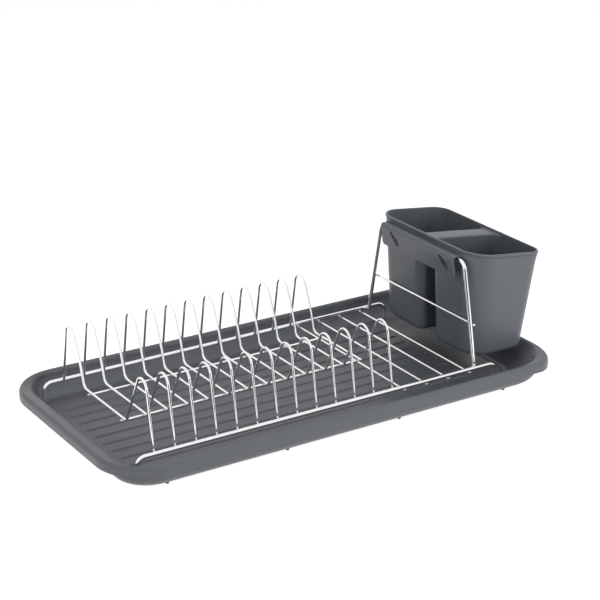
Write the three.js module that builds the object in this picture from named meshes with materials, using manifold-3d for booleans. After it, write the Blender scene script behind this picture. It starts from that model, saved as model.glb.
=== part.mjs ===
// Dish drainer: a moulded drip tray on nub feet, a chrome wire rack that stands in it,
// and a two-bucket caddy that hangs on the rack's arch.
// Millimetres, +Z up, +X along the tray towards the caddy, +Y away from the viewer.
// The origin is on the table, under the middle of the tray.

import * as THREE from 'three';
import { mergeVertices } from 'three/addons/utils/BufferGeometryUtils.js';
import Module from 'manifold-3d';

const wasm = await Module();
wasm.setup();

// Wires

const railWire = 5;              // diameter of the two rails and of the arch
const hoopWire = 3;              // diameter of the hoops, cross wires and brace
const weldGap = 0.3;             // stands for the weld between two touching wires
const railSides = 10;
const hoopSides = 8;
const bendStep = THREE.MathUtils.degToRad(26);

// Rack

const railSpan = 226;            // between the rails' centre lines
const railHeight = 29;           // centre line above the table
const railBend = 10;
const hoopCount = 13;
const hoopPitch = 25.4;
const firstHoop = 23;            // from the left feet to the first hoop
const cupRun = 14.8;             // from the last hoop to the first cross wire
const crossPitch = 30.8;
const crossCount = 4;
const archOffset = 9.2;          // from the last cross wire to the arch
const railTail = 27;             // from the arch to the right feet

// Hoop outline, seen along the rack

const legOverlap = 1.5;          // how far a leg runs down past the rail's centre line
const runHeight = 12;            // floor run above the rails' centre lines
const frontLoopTop = 75.4;       // loop tops above the rails' centre lines
const backLoopTop = 75.2;
const loopBend = 11;             // radius of both loop tops
const frontLegLean = 0.17;       // sideways per unit of height
const backLegLean = 0.18;
const frontValleyInset = 60.8;   // from the leg's end in to the V-bend
const backValleyInset = 54.5;
const valleyBend = 4;
const backValleyBend = 9;
const bowHeight = 37;            // slow bend in the back loop's inner leg
const bowInset = 47.2;
const bowBend = 60;

// Floor wires under the hoops' runs

const frontFloorWireInset = 74.5;  // from the front rail
const backFloorWireInset = 72.5;   // from the back rail
const floorWireStart = 3;        // past the first and last hoop

// Arch and brace

const archHeight = 121;          // top bar's centre line above the rails' centre lines
const archTopSpan = 166;         // between the legs where they meet the top bar
const archBend = 9;
const braceHeight = 48;
const braceOverhang = 3.2;       // past the centre line of each leg

// Tray

const tableToFloor = 5.4;        // tray floor's top face
const floorThickness = 2.6;
const rimAboveRail = 2.3;
const skirtHeight = 11.8;        // rim top down to the skirt's lower edge
const leftFootInset = 35.7;      // tray's left end to the rack's left feet
const rightFootInset = 75.6;
const railToWall = 2.5;          // rail's surface to the edge of the flat floor
const sideWallRun = 25.6;        // flat floor's edge to the rim top, long sides
const leftWallRun = 29.5;        // the same at the left end
const rightWallRun = 34;
const rimRun = 4;                // rim top to the skirt
const rimRound = 4.9;            // height of the rim's outer rounding
const leftCorner = 58;
const rightCornerAlong = 35;
const rightCornerAcross = 58;
const wallCorner = 57;           // inner wall under the rim, at the right end
const wallCornerShare = 0.5;
const cornerShare = 1.5;         // how fast a corner tightens as its ring moves inwards
const tightCorner = 10;          // the tightest that it gets
const cornerSteps = 7;
const sideStep = 2;              // lower body set in under the skirt, long sides
const endStep = 12.5;
const sideUnderRun = 20;         // lower body's wall to the flat underside
const endUnderRun = 16.4;
const leftLowerCorner = 41;
const rightLowerCorner = 50;
const lowerCornerShare = 0.8;

// Height above the floor, then the way in from the rim top at the sides, left end and right end.
const innerWallShares = [
  [0, 1, 1, 1],
  [0.02, 0.883, 0.922, 0.945],
  [0.08, 0.746, 0.858, 0.885],
  [0.2, 0.57, 0.79, 0.78],
  [0.36, 0.414, 0.712, 0.635],
  [0.55, 0.277, 0.627, 0.46],
  [0.74, 0.19, 0.525, 0.28],
  [0.83, 0.168, 0.441, 0.2],
  [0.89, 0.15, 0.305, 0.144],
  [0.94, 0.116, 0.17, 0.1],
  [0.97, 0.09, 0.085, 0.068],
];

// Depth below the rim top, then the way in from the skirt.
const rimRoundShares = [
  [0, 1],
  [0.08, 0.6],
  [0.33, 0.25],
  [0.67, 0.05],
  [1, 0],
];

// Depth below the skirt, then the way in from the lower body's top.
const lowerBodyShares = [
  [0, 0],
  [0.33, 0.025],
  [0.47, 0.085],
  [0.61, 0.185],
  [0.73, 0.325],
  [0.85, 0.51],
  [0.95, 0.75],
  [1, 1],
];

const grooveCount = 9;
const groovePitch = 20.5;
const grooveWidth = 5.6;
const grooveDepth = 1.7;
const grooveLeft = 43;           // tray's left end to the grooves' left ends
const grooveRight = 91;          // tray's right end to the grooves' right ends
const grooveSteps = 3;
const sumpDepth = 1.2;
const sumpLeft = 84;             // tray's right end to the sump's near edge
const sumpRight = 40;
const sumpInset = 15;            // flat floor's edge to the sump's edge
const sumpCorner = 30;
const cutOverrun = 2;

// Nub feet

const footCount = 4;             // along each side
const footFirst = 62.8;          // tray's left end to the first foot
const footLast = 74.8;           // last foot to the tray's right end
const footEdge = 19;             // skirt in to a foot's centre line
const footRadius = 2.2;
const footPad = 1.4;             // radius of the flat that meets the table
const footGap = 0.3;
const footShank = 7.5;           // length before its top is cut to the tray's underside
const footSides = 14;

// Caddy

const caddyClearance = 0.3;      // hook over the arch
const caddyWidth = 199.5;
const caddyToFloor = 23.5;       // caddy's bottom above the tray's floor
const caddyDepth = 101.2;        // at the rim
const rimFall = 12.8;            // how far the rim falls over that depth
const rimAboveBar = 8.2;         // hook side of the rim above the underside of the hook
const barToWall = 0.8;           // arch bar to the caddy's wall, at the rim
const hookSideDraft = 5.2;       // how far each wall leans in over the height
const farSideDraft = 18;
const outerDraft = 5.6;
const innerDraft = 2.4;
const bucketGap = 19.6;          // between the buckets, under the deck
const gapShift = 2.6;            // towards the front, from the caddy's middle
const caddyWall = 2.2;
const caddyFloor = 2.6;
const deckDrop = 2.8;            // rim down to the deck between the buckets
const deckLip = 0.3;             // extra wall left beside the deck
const beadHeight = 3;
const beadWidth = 0.9;
const hookCorner = 31;
const farCorner = 18;
const gapCorner = 12.5;
const caddyCornerSteps = 6;
const bottomRound = 8;
const drainSlots = 4;
const drainLength = 44;
const drainWidth = 4.5;
const drainPitch = 15;

// Hook

const hookLength = 144;
const hookShift = 0;             // towards the back, from the caddy's middle
const hookThickness = 2.2;
const apronThickness = 1.8;
const apronDrop = 25.4;          // underside of the ledge to the apron's lower edge
const apronLean = 0.133;         // towards the caddy, per unit of height
const apronGap = 4.5;            // arch bar to the apron, at the top
const apronCorner = 4;
const ledgeRound = 1.7;
const ledgeRoot = 1.1;           // how far the ledge runs into the wall
const slotInset = 23;            // hook's end to a slot's middle, before the shift
const slotShift = -3;
const slotDepth = 10.4;          // ledge's underside to the middle of a slot
const slotReach = 5.1;           // half of the way across from end to end
const slotFall = 4.9;            // half of the way down from end to end
const slotTip = 2.2;             // radii of the narrow and the wide end
const slotBulb = 4.6;

// Places that follow from the sizes

const railY = railSpan / 2;
const floorHalfWidth = railY + railWire / 2 + railToWall;
const halfWidth = floorHalfWidth + sideWallRun + rimRun;
const slotSpread = hookLength - 2 * slotInset;
const hoopSpan = (hoopCount - 1) * hoopPitch;
const crossSpan = (crossCount - 1) * crossPitch;
const archRun = firstHoop + hoopSpan + cupRun + crossSpan + archOffset;
const caddyReach = railWire / 2 + barToWall + caddyDepth + beadWidth;
const halfLength = (leftFootInset + archRun + caddyReach) / 2;
const rimTop = railHeight + rimAboveRail;
const skirtBottom = rimTop - skirtHeight;
const underside = tableToFloor - floorThickness;
const trayLeft = -halfLength;
const leftFootX = trayLeft + leftFootInset;
const firstHoopX = leftFootX + firstHoop;
const lastHoopX = firstHoopX + hoopSpan;
const firstCrossX = lastHoopX + cupRun;
const archX = leftFootX + archRun;
const rightFootX = archX + railTail;
const trayRight = rightFootX + rightFootInset;
const footPitch = (trayRight - footLast - trayLeft - footFirst) / (footCount - 1);

// Materials

const greyPlastic = () => new THREE.MeshStandardMaterial({
  color: 0x6b6d71, roughness: 0.5, metalness: 0,
});
const slatePlastic = () => new THREE.MeshStandardMaterial({
  color: 0x5b5f64, roughness: 0.48, metalness: 0,
});
const darkRubber = () => new THREE.MeshStandardMaterial({
  color: 0x2b2c2e, roughness: 0.75, metalness: 0,
});
const chromeWire = () => new THREE.MeshStandardMaterial({
  color: 0xd9dadc, roughness: 0.12, metalness: 1,
});

// A bent wire's centre line: straight runs joined by round bends.
// Stations lie only where the wire starts, turns and ends.
class BentWire extends THREE.Curve {
  constructor(corners, radii) {
    super();
    this.points = [];
    this.tangents = [];
    const last = corners.length - 1;
    const heading = new THREE.Vector3().subVectors(corners[1], corners[0]).normalize();
    this.addStation(corners[0], heading);
    for (let i = 1; i < last; i += 1) {
      this.addBend(corners[i - 1], corners[i], corners[i + 1], radii[i - 1]);
    }
    heading.subVectors(corners[last], corners[last - 1]).normalize();
    this.addStation(corners[last], heading);
  }

  addStation(point, tangent) {
    this.points.push(point.clone());
    this.tangents.push(tangent.clone());
  }

  addBend(before, corner, after, radius) {
    const incoming = new THREE.Vector3().subVectors(corner, before).normalize();
    const outgoing = new THREE.Vector3().subVectors(after, corner).normalize();
    const turn = incoming.angleTo(outgoing);
    const axis = new THREE.Vector3().crossVectors(incoming, outgoing).normalize();
    const inward = new THREE.Vector3().crossVectors(axis, incoming);
    const centre = corner.clone();
    centre.addScaledVector(incoming, -radius * Math.tan(turn / 2));
    centre.addScaledVector(inward, radius);
    const steps = Math.max(1, Math.ceil(turn / bendStep));
    for (let s = 0; s <= steps; s += 1) {
      const angle = turn * s / steps;
      const spoke = inward.clone().negate().applyAxisAngle(axis, angle);
      const point = centre.clone().addScaledVector(spoke, radius);
      this.addStation(point, incoming.clone().applyAxisAngle(axis, angle));
    }
  }

  stationAt(u) {
    return Math.round(u * (this.points.length - 1));
  }

  getPointAt(u, target = new THREE.Vector3()) {
    return target.copy(this.points[this.stationAt(u)]);
  }

  getTangentAt(u, target = new THREE.Vector3()) {
    return target.copy(this.tangents[this.stationAt(u)]);
  }
}

function bentWire(corners, radii, diameter, sides) {
  const path = new BentWire(corners, radii);
  const section = new THREE.Shape().absarc(0, 0, diameter / 2, 0, 2 * Math.PI);
  return new THREE.ExtrudeGeometry(section, {
    steps: path.points.length - 1,
    curveSegments: sides / 2,
    extrudePath: path,
  });
}

// A straight wire with tumbled ends, lying along X or Y and centred on the origin.
function straightWire(diameter, length, sides) {
  const radius = diameter / 2;
  const ease = radius * 0.4;
  const profile = [
    new THREE.Vector2(0, -length / 2),
    new THREE.Vector2(radius - ease, -length / 2),
    new THREE.Vector2(radius, ease - length / 2),
    new THREE.Vector2(radius, length / 2 - ease),
    new THREE.Vector2(radius - ease, length / 2),
    new THREE.Vector2(0, length / 2),
  ];
  return new THREE.LatheGeometry(profile, sides);
}

// Rings of equal point counts joined into one closed skin, capped at both ends.
function loft(rings) {
  const count = rings[0].length;
  const positions = [];
  const triangles = [];
  rings.forEach((ring) => ring.forEach((p) => positions.push(p.x, p.y, p.z)));
  for (let r = 0; r < rings.length - 1; r += 1) {
    for (let i = 0; i < count; i += 1) {
      const a = r * count + i;
      const b = r * count + (i + 1) % count;
      triangles.push(a, b, b + count, a, b + count, a + count);
    }
  }
  const addCap = (ring, first, flip) => {
    const middle = new THREE.Vector3();
    ring.forEach((p) => middle.addScaledVector(p, 1 / count));
    const hub = positions.length / 3;
    positions.push(middle.x, middle.y, middle.z);
    for (let i = 0; i < count; i += 1) {
      const a = first + i;
      const b = first + (i + 1) % count;
      triangles.push(hub, flip ? b : a, flip ? a : b);
    }
  };
  addCap(rings[0], 0, true);
  addCap(rings[rings.length - 1], (rings.length - 1) * count, false);
  const geometry = new THREE.BufferGeometry();
  geometry.setAttribute('position', new THREE.Float32BufferAttribute(positions, 3));
  geometry.setIndex(triangles);
  geometry.computeVertexNormals();
  return geometry;
}

// A rounded rectangle of points, anticlockwise from above. Corners go front left, front right,
// back right, back left, each with its own radius along X and along Y.
function roundedRing(box, corners, steps, heightAt) {
  const centres = [
    [box.left + corners[0][0], box.front + corners[0][1]],
    [box.right - corners[1][0], box.front + corners[1][1]],
    [box.right - corners[2][0], box.back - corners[2][1]],
    [box.left + corners[3][0], box.back - corners[3][1]],
  ];
  const ring = [];
  for (let c = 0; c < 4; c += 1) {
    for (let s = 0; s <= steps; s += 1) {
      const angle = Math.PI * (1 + c / 2 + s / steps / 2);
      const x = centres[c][0] + corners[c][0] * Math.cos(angle);
      const y = centres[c][1] + corners[c][1] * Math.sin(angle);
      ring.push(new THREE.Vector3(x, y, heightAt(x)));
    }
  }
  return ring;
}

// Booleans

function toSolid(geometry) {
  const bare = geometry.clone();
  bare.deleteAttribute('normal');
  bare.deleteAttribute('uv');
  const merged = mergeVertices(bare);
  return new wasm.Manifold(new wasm.Mesh({
    numProp: 3,
    vertProperties: new Float32Array(merged.attributes.position.array),
    triVerts: new Uint32Array(merged.index.array),
  }));
}

function toGeometry(solid) {
  const mesh = solid.getMesh();
  const geometry = new THREE.BufferGeometry();
  geometry.setAttribute('position', new THREE.BufferAttribute(mesh.vertProperties, 3));
  geometry.setIndex(new THREE.BufferAttribute(mesh.triVerts, 1));
  geometry.computeVertexNormals();
  return geometry;
}

const drainer = new THREE.Group();

function addPart(name, geometry, material, parent = drainer) {
  const mesh = new THREE.Mesh(geometry, material);
  mesh.name = name;
  parent.add(mesh);
  return mesh;
}

// Drip tray

// A corner's radius on a ring that lies some way in from the ring where it is fullest.
const tighten = (radius, share, inset) => Math.max(tightCorner, radius - share * inset);

// The radii along and across the tray on a corner's fullest ring, how fast they tighten, and
// how far that ring lies in from the end and from the side.
const cornerLaw = (along, across, share, end, side) => ({ along, across, share, end, side });
const rimLeft = cornerLaw(leftCorner, leftCorner, cornerShare, 0, 0);
const rimRight = cornerLaw(rightCornerAlong, rightCornerAcross, cornerShare, 0, 0);
const wallRight = cornerLaw(wallCorner, wallCorner, wallCornerShare, rimRun, rimRun);
const lowerCorners = [leftLowerCorner, rightLowerCorner].map(
  (radius) => cornerLaw(radius, radius, lowerCornerShare, endStep, sideStep),
);

// One ring of the tray, from how far it lies in from the sides, the left end and the right end.
function trayRing(side, left, right, [leftLaw, rightLaw], z) {
  const pair = (law, end) => [
    tighten(law.along, law.share, end - law.end),
    tighten(law.across, law.share, side - law.side),
  ];
  const leftPair = pair(leftLaw, left);
  const rightPair = pair(rightLaw, right);
  const box = {
    left: trayLeft + left,
    right: trayRight - right,
    front: side - halfWidth,
    back: halfWidth - side,
  };
  return roundedRing(box, [leftPair, rightPair, rightPair, leftPair], cornerSteps, () => z);
}

function trayShell() {
  const rings = [];
  const lowerHeight = skirtBottom - underside;
  [...lowerBodyShares].reverse().forEach(([down, share]) => {
    const side = sideStep + share * sideUnderRun;
    const end = endStep + share * endUnderRun;
    rings.push(trayRing(side, end, end, lowerCorners, skirtBottom - down * lowerHeight));
  });
  const rimEnds = [rimLeft, rimRight];
  rings.push(trayRing(0, 0, 0, rimEnds, skirtBottom));
  [...rimRoundShares].reverse().forEach(([down, share]) => {
    const inset = share * rimRun;
    rings.push(trayRing(inset, inset, inset, rimEnds, rimTop - down * rimRound));
  });
  const wallHeight = rimTop - tableToFloor;
  [...innerWallShares].reverse().forEach(([up, side, left, right]) => {
    rings.push(trayRing(
      rimRun + side * sideWallRun,
      rimRun + left * leftWallRun,
      rimRun + right * rightWallRun,
      [rimLeft, wallRight],
      tableToFloor + up * wallHeight,
    ));
  });
  return loft(rings);
}

// A bar with round ends, standing on z = 0 and running along X from the origin.
function stadium(length, width, depth, steps) {
  const radius = width / 2;
  const outline = new THREE.Shape();
  outline.absarc(length - radius, 0, radius, -Math.PI / 2, Math.PI / 2);
  outline.absarc(radius, 0, radius, Math.PI / 2, 3 * Math.PI / 2);
  return new THREE.ExtrudeGeometry(outline, {
    depth, bevelEnabled: false, curveSegments: steps,
  });
}

function trayGroove(index) {
  const length = trayRight - grooveRight - (trayLeft + grooveLeft);
  const groove = stadium(length, grooveWidth, grooveDepth + cutOverrun, grooveSteps);
  const y = (index - (grooveCount - 1) / 2) * groovePitch;
  return groove.translate(trayLeft + grooveLeft, y, tableToFloor - grooveDepth);
}

function traySump() {
  const box = {
    left: trayRight - sumpLeft,
    right: trayRight - sumpRight,
    front: sumpInset - floorHalfWidth,
    back: floorHalfWidth - sumpInset,
  };
  const corner = [sumpCorner, sumpCorner];
  const corners = [corner, corner, corner, corner];
  const bottom = tableToFloor - sumpDepth;
  const low = roundedRing(box, corners, cornerSteps, () => bottom);
  const high = roundedRing(box, corners, cornerSteps, () => tableToFloor + cutOverrun);
  return loft([low, high]);
}

let tray = toSolid(trayShell());
for (let i = 0; i < grooveCount; i += 1) {
  tray = tray.subtract(toSolid(trayGroove(i)));
}
tray = tray.subtract(toSolid(traySump()));
addPart('tray', toGeometry(tray), greyPlastic());

// Nub feet, cut off at the top to follow the tray's underside

const underTray = toSolid(trayShell()).translate([0, 0, -footGap]);

function nubFoot(x, y) {
  const profile = [
    new THREE.Vector2(0, 0),
    new THREE.Vector2(footPad, 0),
    new THREE.Vector2((footPad + 2 * footRadius) / 3, underside / 6),
    new THREE.Vector2(footRadius, underside / 2),
    new THREE.Vector2(footRadius, footShank),
    new THREE.Vector2(0, footShank),
  ];
  const nub = new THREE.LatheGeometry(profile, footSides).rotateX(Math.PI / 2);
  return toGeometry(toSolid(nub.translate(x, y, 0)).subtract(underTray));
}

[['foot_front_', -1], ['foot_back_', 1]].forEach(([name, side]) => {
  for (let i = 0; i < footCount; i += 1) {
    const x = trayLeft + footFirst + i * footPitch;
    addPart(name + (i + 1), nubFoot(x, side * (halfWidth - footEdge)), darkRubber());
  }
});

// Rails

// How high the tray's inside stands under a foot: the point of the foot nearest the corner is
// followed down through the wall's rings until one of them no longer holds it.
function floorUnderFoot(footInset, law, wallRun, column) {
  const endInset = footInset - railWire / 2;
  const sideInset = halfWidth - railY - railWire / 2;
  const steps = innerWallShares.map((row) => {
    const side = rimRun + row[1] * sideWallRun;
    const end = rimRun + row[column] * wallRun;
    const radiusX = tighten(law.along, law.share, end - law.end);
    const radiusY = tighten(law.across, law.share, side - law.side);
    const acrossX = Math.max(0, end + radiusX - endInset) / radiusX;
    const acrossY = Math.max(0, side + radiusY - sideInset) / radiusY;
    return [row[0], Math.hypot(acrossX, acrossY)];
  });
  const first = steps.findIndex(([, radius]) => radius < 1);
  if (first === 0) {
    return tableToFloor;
  }
  const [upOut, out] = steps[first - 1];
  const [upIn, within] = steps[first];
  const up = upIn + (upOut - upIn) * (1 - within) / (out - within);
  return tableToFloor + up * (rimTop - tableToFloor);
}

const leftFootEnd = floorUnderFoot(leftFootInset, rimLeft, leftWallRun, 2) + weldGap;
const rightFootEnd = floorUnderFoot(rightFootInset, wallRight, rightWallRun, 3) + weldGap;

function rail() {
  return bentWire([
    new THREE.Vector3(leftFootX, 0, leftFootEnd),
    new THREE.Vector3(leftFootX, 0, railHeight),
    new THREE.Vector3(rightFootX, 0, railHeight),
    new THREE.Vector3(rightFootX, 0, rightFootEnd),
  ], [railBend, railBend], railWire, railSides);
}

addPart('front_rail', rail(), chromeWire()).position.y = -railY;
addPart('back_rail', rail(), chromeWire()).position.y = railY;

// Hoops

// Sideways distance that keeps a leg's end just clear of the rail beside it.
function besideRail(diameter) {
  return (railWire + diameter) / 2 + weldGap;
}

// Where two slanted legs would meet above a round loop of a given radius and height.
function loopCorner(footY, footZ, lean, innerY, innerZ, top) {
  let z = top + loopBend;
  for (let pass = 0; pass < 40; pass += 1) {
    const y = footY + lean * (z - footZ);
    const innerLean = (innerY - y) / (z - innerZ);
    const half = (Math.atan(lean) + Math.atan(innerLean)) / 2;
    const tilt = (Math.atan(innerLean) - Math.atan(lean)) / 2;
    z = top - loopBend + loopBend * Math.cos(tilt) / Math.sin(half);
  }
  return [footY + lean * (z - footZ), z];
}

function hoop() {
  const footZ = -legOverlap;
  const footY = besideRail(hoopWire) - railY;
  const frontValleyY = footY + frontValleyInset;
  const backValleyY = -footY - backValleyInset;
  const bowY = -footY - bowInset;
  const [frontY, frontZ] = loopCorner(footY, footZ, frontLegLean, frontValleyY, runHeight,
    frontLoopTop);
  const [backY, backZ] = loopCorner(footY, footZ, backLegLean, -bowY, bowHeight,
    backLoopTop);
  const corners = [
    [footY, footZ],
    [frontY, frontZ],
    [frontValleyY, runHeight],
    [backValleyY, runHeight],
    [bowY, bowHeight],
    [-backY, backZ],
    [-footY, footZ],
  ].map(([y, z]) => new THREE.Vector3(0, y, z));
  const radii = [loopBend, valleyBend, backValleyBend, bowBend, loopBend];
  return bentWire(corners, radii, hoopWire, hoopSides);
}

for (let i = 0; i < hoopCount; i += 1) {
  const name = 'hoop_' + String(i + 1).padStart(2, '0');
  const part = addPart(name, hoop(), chromeWire());
  part.position.set(firstHoopX + i * hoopPitch, 0, railHeight);
}

// Floor wires under the hoops, and cross wires under the rails

const floorWireZ = railHeight + runHeight - hoopWire - weldGap;
[['front_floor_wire', frontFloorWireInset - railY],
  ['back_floor_wire', railY - backFloorWireInset]].forEach(([name, y]) => {
  const length = hoopSpan + 2 * floorWireStart;
  const wire = straightWire(hoopWire, length, hoopSides).rotateZ(-Math.PI / 2);
  addPart(name, wire, chromeWire()).position.set((firstHoopX + lastHoopX) / 2, y, floorWireZ);
});

const crossWireZ = railHeight - (railWire + hoopWire) / 2 - weldGap;
for (let i = 0; i < crossCount; i += 1) {
  const wire = straightWire(hoopWire, railSpan + hoopWire, hoopSides);
  const part = addPart('cross_wire_' + (i + 1), wire, chromeWire());
  part.position.set(firstCrossX + i * crossPitch, 0, crossWireZ);
}

// Caddy arch and its brace

const archFootY = railY - besideRail(railWire);
const archLean = (archFootY - archTopSpan / 2) / archHeight;

function arch() {
  const corners = [
    [-archFootY - archLean * legOverlap, -legOverlap],
    [-archTopSpan / 2, archHeight],
    [archTopSpan / 2, archHeight],
    [archFootY + archLean * legOverlap, -legOverlap],
  ].map(([y, z]) => new THREE.Vector3(0, y, z));
  return bentWire(corners, [archBend, archBend], railWire, railSides);
}

addPart('caddy_arch', arch(), chromeWire()).position.set(archX, 0, railHeight);

const braceHalf = archFootY - archLean * braceHeight + braceOverhang;
const braceX = archX + (railWire + hoopWire) / 2 + weldGap;
const brace = straightWire(hoopWire, 2 * braceHalf, hoopSides);
addPart('arch_brace', brace, chromeWire()).position.set(braceX, 0, railHeight + braceHeight);

// Caddy

const barTop = railHeight + archHeight + railWire / 2;
const ledgeUnder = barTop + caddyClearance;
const caddyLeft = archX + railWire / 2 + barToWall;
const caddyRimTop = ledgeUnder + rimAboveBar;
const caddyBottom = tableToFloor + caddyToFloor;
const caddyHeight = caddyRimTop - caddyBottom;
const rimSlope = rimFall / caddyDepth;
const rimHeight = (x) => caddyRimTop - rimSlope * (x - caddyLeft);

// A ring of one bucket, or of the whole rim, at a share of the caddy's height.
function caddyRing(faces, corners, up, inset, drop = 0) {
  const lean = 1 - up;
  const box = {
    left: faces.left + faces.leftDraft * lean + inset,
    right: faces.right - faces.rightDraft * lean - inset,
    front: faces.front + faces.frontDraft * lean + inset,
    back: faces.back - faces.backDraft * lean - inset,
  };
  const shrunk = corners.map((radius) => [radius - inset, radius - inset]);
  const heightAt = (x) => caddyBottom + up * (rimHeight(x) - caddyBottom) - drop;
  return roundedRing(box, shrunk, caddyCornerSteps, heightAt);
}

const halfCaddy = caddyWidth / 2;
const gapFront = -gapShift - bucketGap / 2;
const gapBack = bucketGap / 2 - gapShift;
const frontBucket = {
  left: caddyLeft,
  leftDraft: hookSideDraft,
  right: caddyLeft + caddyDepth,
  rightDraft: farSideDraft,
  front: -halfCaddy,
  frontDraft: outerDraft,
  back: gapFront,
  backDraft: innerDraft,
};
const backBucket = {
  ...frontBucket,
  front: gapBack,
  frontDraft: innerDraft,
  back: halfCaddy,
  backDraft: outerDraft,
};
const deckBand = {
  ...frontBucket,
  front: gapFront - caddyWall,
  frontDraft: 0,
  back: gapBack + caddyWall,
  backDraft: 0,
};
const wellBand = {
  ...deckBand,
  front: gapFront - 2 * gapCorner,
  back: gapBack + 2 * gapCorner,
};
const wholeRim = { ...frontBucket, back: backBucket.back, backDraft: outerDraft };
const frontCorners = [hookCorner, farCorner, gapCorner, gapCorner];
const backCorners = [gapCorner, gapCorner, farCorner, hookCorner];
const rimCorners = [hookCorner, farCorner, farCorner, hookCorner];
const deckCorners = [caddyWall, caddyWall, caddyWall, caddyWall];
const wellCorners = [gapCorner, gapCorner, gapCorner, gapCorner];

function bucketOuter(faces, corners) {
  const share = bottomRound / caddyHeight;
  return loft([
    caddyRing(faces, corners, 0, bottomRound * 0.75),
    caddyRing(faces, corners, share * 0.1, bottomRound * 0.4),
    caddyRing(faces, corners, share * 0.4, bottomRound * 0.12),
    caddyRing(faces, corners, share, 0),
    caddyRing(faces, corners, 1, 0, beadHeight / 2),
  ]);
}

function bucketInner(faces, corners) {
  const floorShare = caddyFloor / caddyHeight;
  const share = bottomRound / caddyHeight;
  return loft([
    caddyRing(faces, corners, floorShare, caddyWall + bottomRound / 2),
    caddyRing(faces, corners, floorShare + share * 0.15, caddyWall + bottomRound / 6),
    caddyRing(faces, corners, floorShare + share / 2, caddyWall),
    caddyRing(faces, corners, 1 + cutOverrun / caddyHeight, caddyWall),
  ]);
}

function rimBand() {
  return loft([
    caddyRing(wholeRim, rimCorners, 1, 0, beadHeight),
    caddyRing(wholeRim, rimCorners, 1, -beadWidth, beadHeight - beadWidth / 2),
    caddyRing(wholeRim, rimCorners, 1, -beadWidth, beadWidth / 2),
    caddyRing(wholeRim, rimCorners, 1, 0),
  ]);
}

// The deck that joins the buckets under the rim, and the well that is cut down to it.
function deck() {
  return loft([
    caddyRing(deckBand, deckCorners, 1, caddyWall / 2, deckDrop + caddyWall),
    caddyRing(deckBand, deckCorners, 1, caddyWall / 2, deckDrop),
  ]);
}

function rimWell() {
  return loft([
    caddyRing(wellBand, wellCorners, 1, caddyWall + deckLip, deckDrop),
    caddyRing(wellBand, wellCorners, 1, caddyWall + deckLip, -cutOverrun),
  ]);
}

// The hook's ledge: its section in X and Z, drawn out along Y.
const apronX = archX - railWire / 2 - apronGap - apronThickness;
const alongY = new THREE.Matrix4().makeBasis(
  new THREE.Vector3(1, 0, 0),
  new THREE.Vector3(0, 0, 1),
  new THREE.Vector3(0, -1, 0),
);

function hookLedge() {
  const rootX = caddyLeft + ledgeRoot;
  const top = ledgeUnder + hookThickness;
  const section = new THREE.Shape();
  section.moveTo(rootX, ledgeUnder);
  section.lineTo(rootX, top);
  section.absarc(apronX + ledgeRound, top - ledgeRound, ledgeRound, Math.PI / 2, Math.PI);
  section.lineTo(apronX, ledgeUnder);
  const ledge = new THREE.ExtrudeGeometry(section, {
    depth: hookLength, bevelEnabled: false, curveSegments: 3,
  });
  return ledge.applyMatrix4(alongY).translate(0, hookShift + hookLength / 2, 0);
}

// The apron: a plate with rounded lower corners and two leaf-shaped slots, leaning to the wall.
const facingX = new THREE.Matrix4().makeBasis(
  new THREE.Vector3(0, 1, 0),
  new THREE.Vector3(0, 0, 1),
  new THREE.Vector3(1, 0, 0),
);

function leafSlot(y) {
  const tip = new THREE.Vector2(y + slotReach, slotFall - slotDepth);
  const bulb = new THREE.Vector2(y - slotReach, -slotFall - slotDepth);
  const run = tip.clone().sub(bulb);
  const across = run.angle() + Math.PI / 2;
  const spread = Math.asin((slotBulb - slotTip) / run.length());
  const slot = new THREE.Path();
  slot.absarc(bulb.x, bulb.y, slotBulb, across - spread, across + Math.PI + spread);
  slot.absarc(tip.x, tip.y, slotTip, across + Math.PI + spread,
    across + 2 * Math.PI - spread);
  return slot;
}

function hookApron() {
  const half = hookLength / 2;
  const plate = new THREE.Shape();
  plate.moveTo(half, ledgeRoot / 4);
  plate.lineTo(-half, ledgeRoot / 4);
  plate.absarc(apronCorner - half, apronCorner - apronDrop, apronCorner, Math.PI,
    3 * Math.PI / 2);
  plate.absarc(half - apronCorner, apronCorner - apronDrop, apronCorner, -Math.PI / 2, 0);
  plate.holes.push(leafSlot(slotShift + slotSpread / 2), leafSlot(slotShift - slotSpread / 2));
  const apron = new THREE.ExtrudeGeometry(plate, {
    depth: apronThickness, bevelEnabled: false, curveSegments: 4,
  });
  const lean = new THREE.Matrix4().makeShear(0, 0, 0, -apronLean, 0, 0);
  return apron.applyMatrix4(lean).applyMatrix4(facingX)
    .translate(apronX, hookShift, ledgeUnder);
}

// Drain slots through a bucket's floor.
function drainSlot(faces, index) {
  const left = faces.left + faces.leftDraft;
  const right = faces.right - faces.rightDraft;
  const front = faces.front + faces.frontDraft;
  const back = faces.back - faces.backDraft;
  const y = (front + back) / 2 + (index - (drainSlots - 1) / 2) * drainPitch;
  const slot = stadium(drainLength, drainWidth, caddyFloor + 2 * cutOverrun, 3);
  return slot.translate((left + right - drainLength) / 2, y, caddyBottom - cutOverrun);
}

let caddy = toSolid(bucketOuter(frontBucket, frontCorners));
caddy = caddy.add(toSolid(bucketOuter(backBucket, backCorners)));
caddy = caddy.add(toSolid(deck())).add(toSolid(rimBand())).subtract(toSolid(rimWell()));
caddy = caddy.add(toSolid(hookLedge())).add(toSolid(hookApron()));
[[frontBucket, frontCorners], [backBucket, backCorners]].forEach(([faces, corners]) => {
  caddy = caddy.subtract(toSolid(bucketInner(faces, corners)));
  for (let i = 0; i < drainSlots; i += 1) {
    caddy = caddy.subtract(toSolid(drainSlot(faces, i)));
  }
});
addPart('caddy', toGeometry(caddy), slatePlastic());

export default drainer;
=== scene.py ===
import math

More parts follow.
